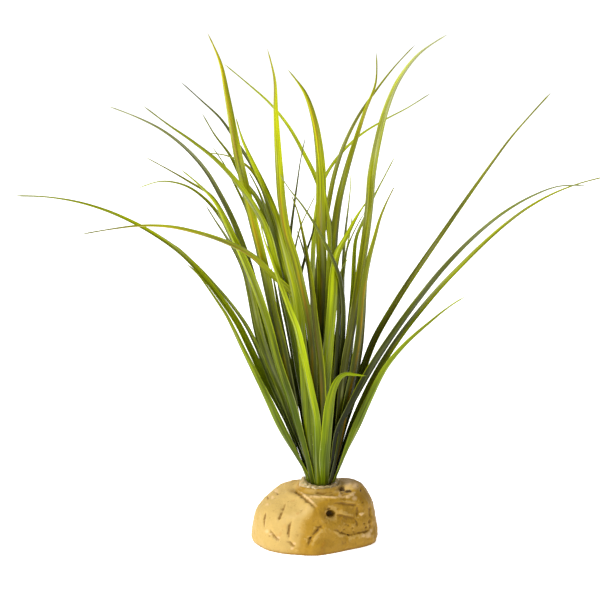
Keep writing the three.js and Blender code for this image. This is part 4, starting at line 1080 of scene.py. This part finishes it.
# %% Painted light on the left side, and the finished rock
PAINTED_LIGHT_FROM = unit(np.array([-0.9, -0.2, 0.38]))
LIT_SIDE_EDGE = ((-8, -6), (-3, 18.7))
LIT_SIDE_FADE = 16.0
LIT_SIDE_TOP = (18.0, 25.0)
LINE_SHARE = 0.6

places, facing = seen_from(EYE)
(foot_across, foot_up), (head_across, head_up) = LIT_SIDE_EDGE
line_across = np.interp(places[:, 1], (foot_up, head_up), (foot_across, head_across))
left_of_line = np.clip((line_across - places[:, 0]) / LIT_SIDE_FADE, -0.5, 0.5) * facing
left_of_line *= np.interp(places[:, 1], LIT_SIDE_TOP, (1, 0))
# Painted light: the cream follows how far each face looks towards the key light from the left and above.
lit_side = normals @ PAINTED_LIGHT_FROM + LINE_SHARE * left_of_line

sunk[points[:, 2] <= 0] = 0
carved = points - normals * sunk[:, None]
carved[:, 2] = np.maximum(carved[:, 2], 0)
rock.data.vertices.foreach_set("co", carved.astype(np.float32).ravel())
rock.data.polygons.foreach_set("use_smooth", [True] * len(rock.data.polygons))
followed_by_paint = {
    "wash_and_shade": wash_and_shade,
    "pit_wash_and_shade": pit_wash_and_shade,
    "chipped": chipped,
    "hollow": hollow,
    "lit_side": lit_side,
}
for name, values in followed_by_paint.items():
    layer = rock.data.attributes.new(name, "FLOAT", "POINT")
    layer.data.foreach_set("value", values.astype(np.float32))
rock.data.update()
print("rock's top, mm:", round(float(carved[:, 2].max()) / MM, 1))

# %% [markdown]
# The resin is cast in an ochre colour and washed with thin brown paint that stays in the cracks.
# Painted light and shade lie on it as well: cream on the left side, which faces the key light, and
# brown painted shade along the floor, in the holes and on the shadow lines under the glue and
# behind the crest. Ridges and chips are rubbed paler. So the paint is a pile of coats, and a table
# says for each what it follows. Noise breaks each border up, so that it looks wiped by hand.

# %% The rock's paint
# The cream is painted light, for the side that faces the key light.
OCHRE, MUSTARD, LIT_SIDE_CREAM = "#A27B20", "#8A660C", "#BA9C5A"
# The wash's brown also serves as painted shade near the floor and on two painted shadow lines.
WASH_AND_SHADE_BROWN, PIT_BROWN, RUST = "#76541A", "#3A2608", "#A8621C"
RUBBED, CHIPPED = "#C2A05A", "#D6B482"
FOOT_SHADE_HEIGHT = 2.4 * MM
# Each noise: its size and its detail. Grains and flecks are drawn coarser than real sand too.
PAINT_NOISES = {
    "patches": (8 * MM, 3.0),
    "grains": (1.1 * MM, 4.0),
    "flecks": (0.7 * MM, 1.0),
}
# Each coat: what it follows, the noise that breaks its border and by how much, where it begins
# and where it is full, how strong it is there, and its colour.
COATS = [
    ("patches", "patches", 0.0, 0.48, 0.66, 0.6, MUSTARD),
    # Painted light: cream on the side that faces the key light.
    ("lit_side", "patches", 0.3, 0.2, 0.8, 0.95, LIT_SIDE_CREAM),
    ("patches", "patches", 0.0, 0.64, 0.72, 0.2, RUST),
    # Painted shade: brown near the floor stands in for the contact shadow at the rock's foot.
    ("height", "grains", 0.0, FOOT_SHADE_HEIGHT, 0.0, 0.55, WASH_AND_SHADE_BROWN),
    ("hollow", "grains", 0.9, 0.3, 1.1, 0.5, WASH_AND_SHADE_BROWN),
    ("hollow", "grains", 0.9, -0.35, -1.1, 0.55, RUBBED),
    ("chipped", "grains", 0.6, 0.25, 1.0, 0.65, CHIPPED),
    ("wash_and_shade", "grains", 0.8, 0.35, 1.1, 0.6, WASH_AND_SHADE_BROWN),
    # Dark wash and painted shade in the pits.
    ("pit_wash_and_shade", "grains", 0.5, 0.3, 0.9, 0.9, PIT_BROWN),
    ("flecks", "flecks", 0.0, 0.71, 0.77, 0.35, PIT_BROWN),
]


def painted_resin():
    """Polyester resin, cast and hand painted: satin, sandy, darker in every hollow, with painted light and
    shade.
    """
    material, tree = new_material("washed_cast_resin_painted_light_and_shade")
    place = add_node(tree, "ShaderNodeTexCoord").outputs["Object"]
    follows = {"height": add_node(tree, "ShaderNodeSeparateXYZ", {0: place}).outputs["Z"]}
    for name, (size, detail) in PAINT_NOISES.items():
        noise_inputs = {"Vector": place, "Scale": 1 / size, "Detail": detail}
        follows[name] = add_node(tree, "ShaderNodeTexNoise", noise_inputs).outputs[0]
    for name in followed_by_paint:
        stored = add_node(tree, "ShaderNodeAttribute", attribute_name=name)
        follows[name] = stored.outputs["Fac"]

    colour = srgb(OCHRE)
    for followed, breaker, amount, begins, full, strength, hex_code in COATS:
        value = follows[followed]
        if amount:
            shift = add_node(
                tree,
                "ShaderNodeMath",
                {0: follows[breaker], 1: amount, 2: -amount / 2},
                operation="MULTIPLY_ADD",
            )
            value = add_node(tree, "ShaderNodeMath", {0: value, 1: shift}, operation="ADD")
        mask = add_node(
            tree,
            "ShaderNodeMapRange",
            {"Value": value, "From Min": begins, "From Max": full, "To Max": strength},
            interpolation_type="SMOOTHSTEP",
        )
        mix = {"Factor": mask, "A": colour, "B": srgb(hex_code)}
        colour = add_node(tree, "ShaderNodeMix", mix, data_type="RGBA").outputs["Result"]

    grain = {0: follows["grains"], 1: follows["flecks"]}
    grain = add_node(tree, "ShaderNodeMath", grain, operation="ADD")
    relief = {"Height": grain, "Strength": 0.3, "Distance": 0.2 * MM}
    skin = {"Base Color": colour, "IOR": 1.5, "Specular IOR Level": 0.15, "Roughness": 0.5}
    skin["Normal"] = add_node(tree, "ShaderNodeBump", relief)
    surface = add_node(tree, "ShaderNodeBsdfPrincipled", skin)
    add_node(tree, "ShaderNodeOutputMaterial", {"Surface": surface})
    return material


rock.data.materials.clear()
rock.data.materials.append(painted_resin())
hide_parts("rock_base")
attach(rock, "root")
print("coats of paint on the rock:", len(COATS))

# %% [markdown]
# The blades are held by hot-melt glue that was poured into the socket and smeared over its rim.
# It is a height over a round grid: a low lumpy dome inside the socket, and outside it a thin skin
# that lies on the rock and runs out in an uneven border. How far the socket reaches in a direction
# is measured on the glue's solid, by a ray shot inwards from outside it.

# %% How the glue lies
GLUE_MIDDLE = Vector((*tuft_foot.xy, 0))
DOME_TOP = 37.1 * MM
DOME_FALL = 1.2 * MM
DOME_LUMPS = 0.3 * MM
LUMP_SIZE = 3.4 * MM
SMEAR = 1.0 * MM
SMEAR_THICKNESS = 0.4 * MM
LEAST_WANDER = -0.4
ONTO_ROCK = (0.6 * MM, 1.4 * MM)
SOCKET_DEPTH = 3 * MM
OUTLINE_HEIGHT = 36.8 * MM
GLUE_FLOOR = 30.0 * MM
OUTSIDE, ABOVE = 20 * MM, 60 * MM
# Blobs that stand up beside the blades: direction in degrees, distance, size and height.
GLUE_BLOBS = [
    (186, 10.0, 2.3, 2.9), (160, 10.4, 2.4, 2.2), (120, 10.2, 2.4, 1.6), (80, 10.0, 2.4, 1.8),
    (40, 10.4, 2.4, 2.2), (6, 10.8, 2.0, 2.4), (214, 10.2, 1.9, 1.4), (236, 9.7, 1.5, 0.5),
    (256, 9.4, 1.2, 0.3), (300, 9.6, 1.3, 0.3), (334, 10.4, 1.7, 0.9),
]

rock_faces = [tuple(face.vertices) for face in rock.data.polygons]
carved_surface = BVHTree.FromPolygons([tuple(p) for p in carved], rock_faces)
glue_solid = merged_mesh("glue_collar")
glue_walls = BVHTree.FromBMesh(glue_solid)
glue_solid.free()


def glue_direction(angle):
    return Vector((math.cos(angle), math.sin(angle), 0))


def socket_radius(angle):
    """How far the glue's solid reaches from its middle in a direction."""
    middle = GLUE_MIDDLE + Vector((0, 0, OUTLINE_HEIGHT))
    outside = middle + glue_direction(angle) * OUTSIDE
    return (glue_walls.ray_cast(outside, -glue_direction(angle))[0] - middle).length


def glue_height(angle, radius):
    """The glue's top over a place on the plan."""
    plan = GLUE_MIDDLE + glue_direction(angle) * radius
    rim = socket_radius(angle)
    lumps = noise.fractal(plan / LUMP_SIZE, 0.8, 2.0, 3)
    dome = DOME_TOP - DOME_FALL * (radius / rim) ** 2 + DOME_LUMPS * lumps
    for azimuth, distance, size, height in GLUE_BLOBS:
        blob = GLUE_MIDDLE + glue_direction(math.radians(azimuth)) * distance * MM
        dome += height * MM * math.exp(-(((plan - blob).length / (size * MM)) ** 2))
    over_rock = plan + Vector((0, 0, ABOVE))
    rock_top = carved_surface.ray_cast(over_rock, Vector((0, 0, -1)))[0].z
    if rock_top < GLUE_FLOOR + SOCKET_DEPTH:
        return dome
    skin = rock_top + SMEAR_THICKNESS * (0.8 + 0.5 * lumps)
    onto_rock = min(max((radius - rim + ONTO_ROCK[0]) / ONTO_ROCK[1], 0), 1)
    return dome + (skin - dome) * onto_rock


def glue_edge(angle):
    """How far the smear reaches in a direction."""
    wander = noise.noise(Vector((3.1 * math.cos(angle), 3.1 * math.sin(angle), 4.0)))
    return socket_radius(angle) + SMEAR * (0.7 + 1.5 * max(wander, LEAST_WANDER))


print("the socket's radius to the front, mm:", round(socket_radius(-math.pi / 2) / MM, 1))

# %% [markdown]
# The mesh is built ring by ring from the middle outwards. The last rings sink into the rock, so
# that no gap shows under the glue's border. A skirt inside the socket and a floor close the form.

# %% Pour the glue
GLUE_RINGS, GLUE_SPOKES = 46, 150
SKIRT_HEIGHT = 31.5 * MM
SKIRT_INSET = 0.4 * MM
BORDER_SINK = 1.2 * MM
BORDER_SHARE = 0.07


def pour_glue():
    """The glue's mesh: the top, a border sunk into the rock, and a closed floor in the socket."""
    mesh = bmesh.new()
    angles = [math.tau * spoke / GLUE_SPOKES for spoke in range(GLUE_SPOKES)]
    rings = []
    for ring in range(1, GLUE_RINGS + 1):
        share = ring / GLUE_RINGS
        sink = BORDER_SINK * max(0, share - (1 - BORDER_SHARE)) / BORDER_SHARE
        reaches = [glue_edge(angle) * share for angle in angles]
        tops = [glue_height(angle, reach) - sink for angle, reach in zip(angles, reaches)]
        rings.append((reaches, tops))
    inner = [socket_radius(angle) - SKIRT_INSET for angle in angles]
    rings.append((inner, [SKIRT_HEIGHT] * GLUE_SPOKES))
    rings.append((inner, [GLUE_FLOOR] * GLUE_SPOKES))
    corners = []
    for reaches, heights in rings:
        row = []
        for angle, reach, height in zip(angles, reaches, heights):
            plan = GLUE_MIDDLE + glue_direction(angle) * reach
            row.append(mesh.verts.new((plan.x, plan.y, height)))
        corners.append(row)
    top = mesh.verts.new((GLUE_MIDDLE.x, GLUE_MIDDLE.y, glue_height(0, 0)))
    bottom = mesh.verts.new((GLUE_MIDDLE.x, GLUE_MIDDLE.y, GLUE_FLOOR))
    for spoke in range(GLUE_SPOKES):
        after = (spoke + 1) % GLUE_SPOKES
        mesh.faces.new((top, corners[0][spoke], corners[0][after]))
        mesh.faces.new((bottom, corners[-1][after], corners[-1][spoke]))
        for inside, outside in zip(corners, corners[1:]):
            mesh.faces.new((inside[spoke], outside[spoke], outside[after], inside[after]))
    bmesh.ops.recalc_face_normals(mesh, faces=mesh.faces)
    for face in mesh.faces:
        face.smooth = True
    data = bpy.data.meshes.new("poured_glue")
    mesh.to_mesh(data)
    mesh.free()
    glue = bpy.data.objects.new("poured_glue", data)
    bpy.context.collection.objects.link(glue)
    return glue


glue = pour_glue()
print("glue's top, mm:", round(max(v.co.z for v in glue.data.vertices) / MM, 1))

# %% [markdown]
# Hot-melt glue sets milky. Light goes a little way into it, so its lumps look soft, and their wet
# gloss shows small highlights. Subsurface scattering gives both the softness and the warm edge.

# %% The glue's material
CLOUDINESS = 4.5 * MM
SHADED_GLUE, PALE_GLUE = "#85774A", "#C6AE80"


def hot_melt():
    """Hot-melt glue, set as it ran: milky, soft to look into, with a wet gloss on its lumps."""
    material, tree = new_material("milky_hot_melt_glue")
    place = add_node(tree, "ShaderNodeTexCoord").outputs["Object"]
    clouds = {"Vector": place, "Scale": 1 / CLOUDINESS, "Detail": 2.0}
    clouds = add_node(tree, "ShaderNodeTexNoise", clouds)
    ramp = add_node(tree, "ShaderNodeValToRGB", {"Fac": clouds})
    stops = ramp.color_ramp.elements
    stops[0].position, stops[0].color = 0.35, srgb(SHADED_GLUE)
    stops[1].position, stops[1].color = 0.65, srgb(PALE_GLUE)
    relief = {"Height": clouds, "Strength": 0.4, "Distance": 0.5 * MM}
    relief = add_node(tree, "ShaderNodeBump", relief)
    surface = add_node(
        tree,
        "ShaderNodeBsdfPrincipled",
        {
            "Base Color": ramp,
            "IOR": 1.48,
            "Specular IOR Level": 0.3,
            "Roughness": 0.28,
            "Subsurface Weight": 0.5,
            "Subsurface Scale": 2 * MM,
            "Subsurface Radius": (1.0, 0.8, 0.6),
            "Normal": relief,
        },
    )
    add_node(tree, "ShaderNodeOutputMaterial", {"Surface": surface})
    return material


glue.data.materials.append(hot_melt())
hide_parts("glue_collar")
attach(glue, "root")
print("materials in all:", len(bpy.data.materials))

# %% [markdown]
# The tuft is measured again once everything is dressed. Its box stays the CAD model's, because
# the tips of the blades and the floor set it, and each strip ends where its solid does.

# %% Sizes and finish
low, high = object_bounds()
print("visual box, mm:", [round(v / MM, 1) for v in (*low, *high)])
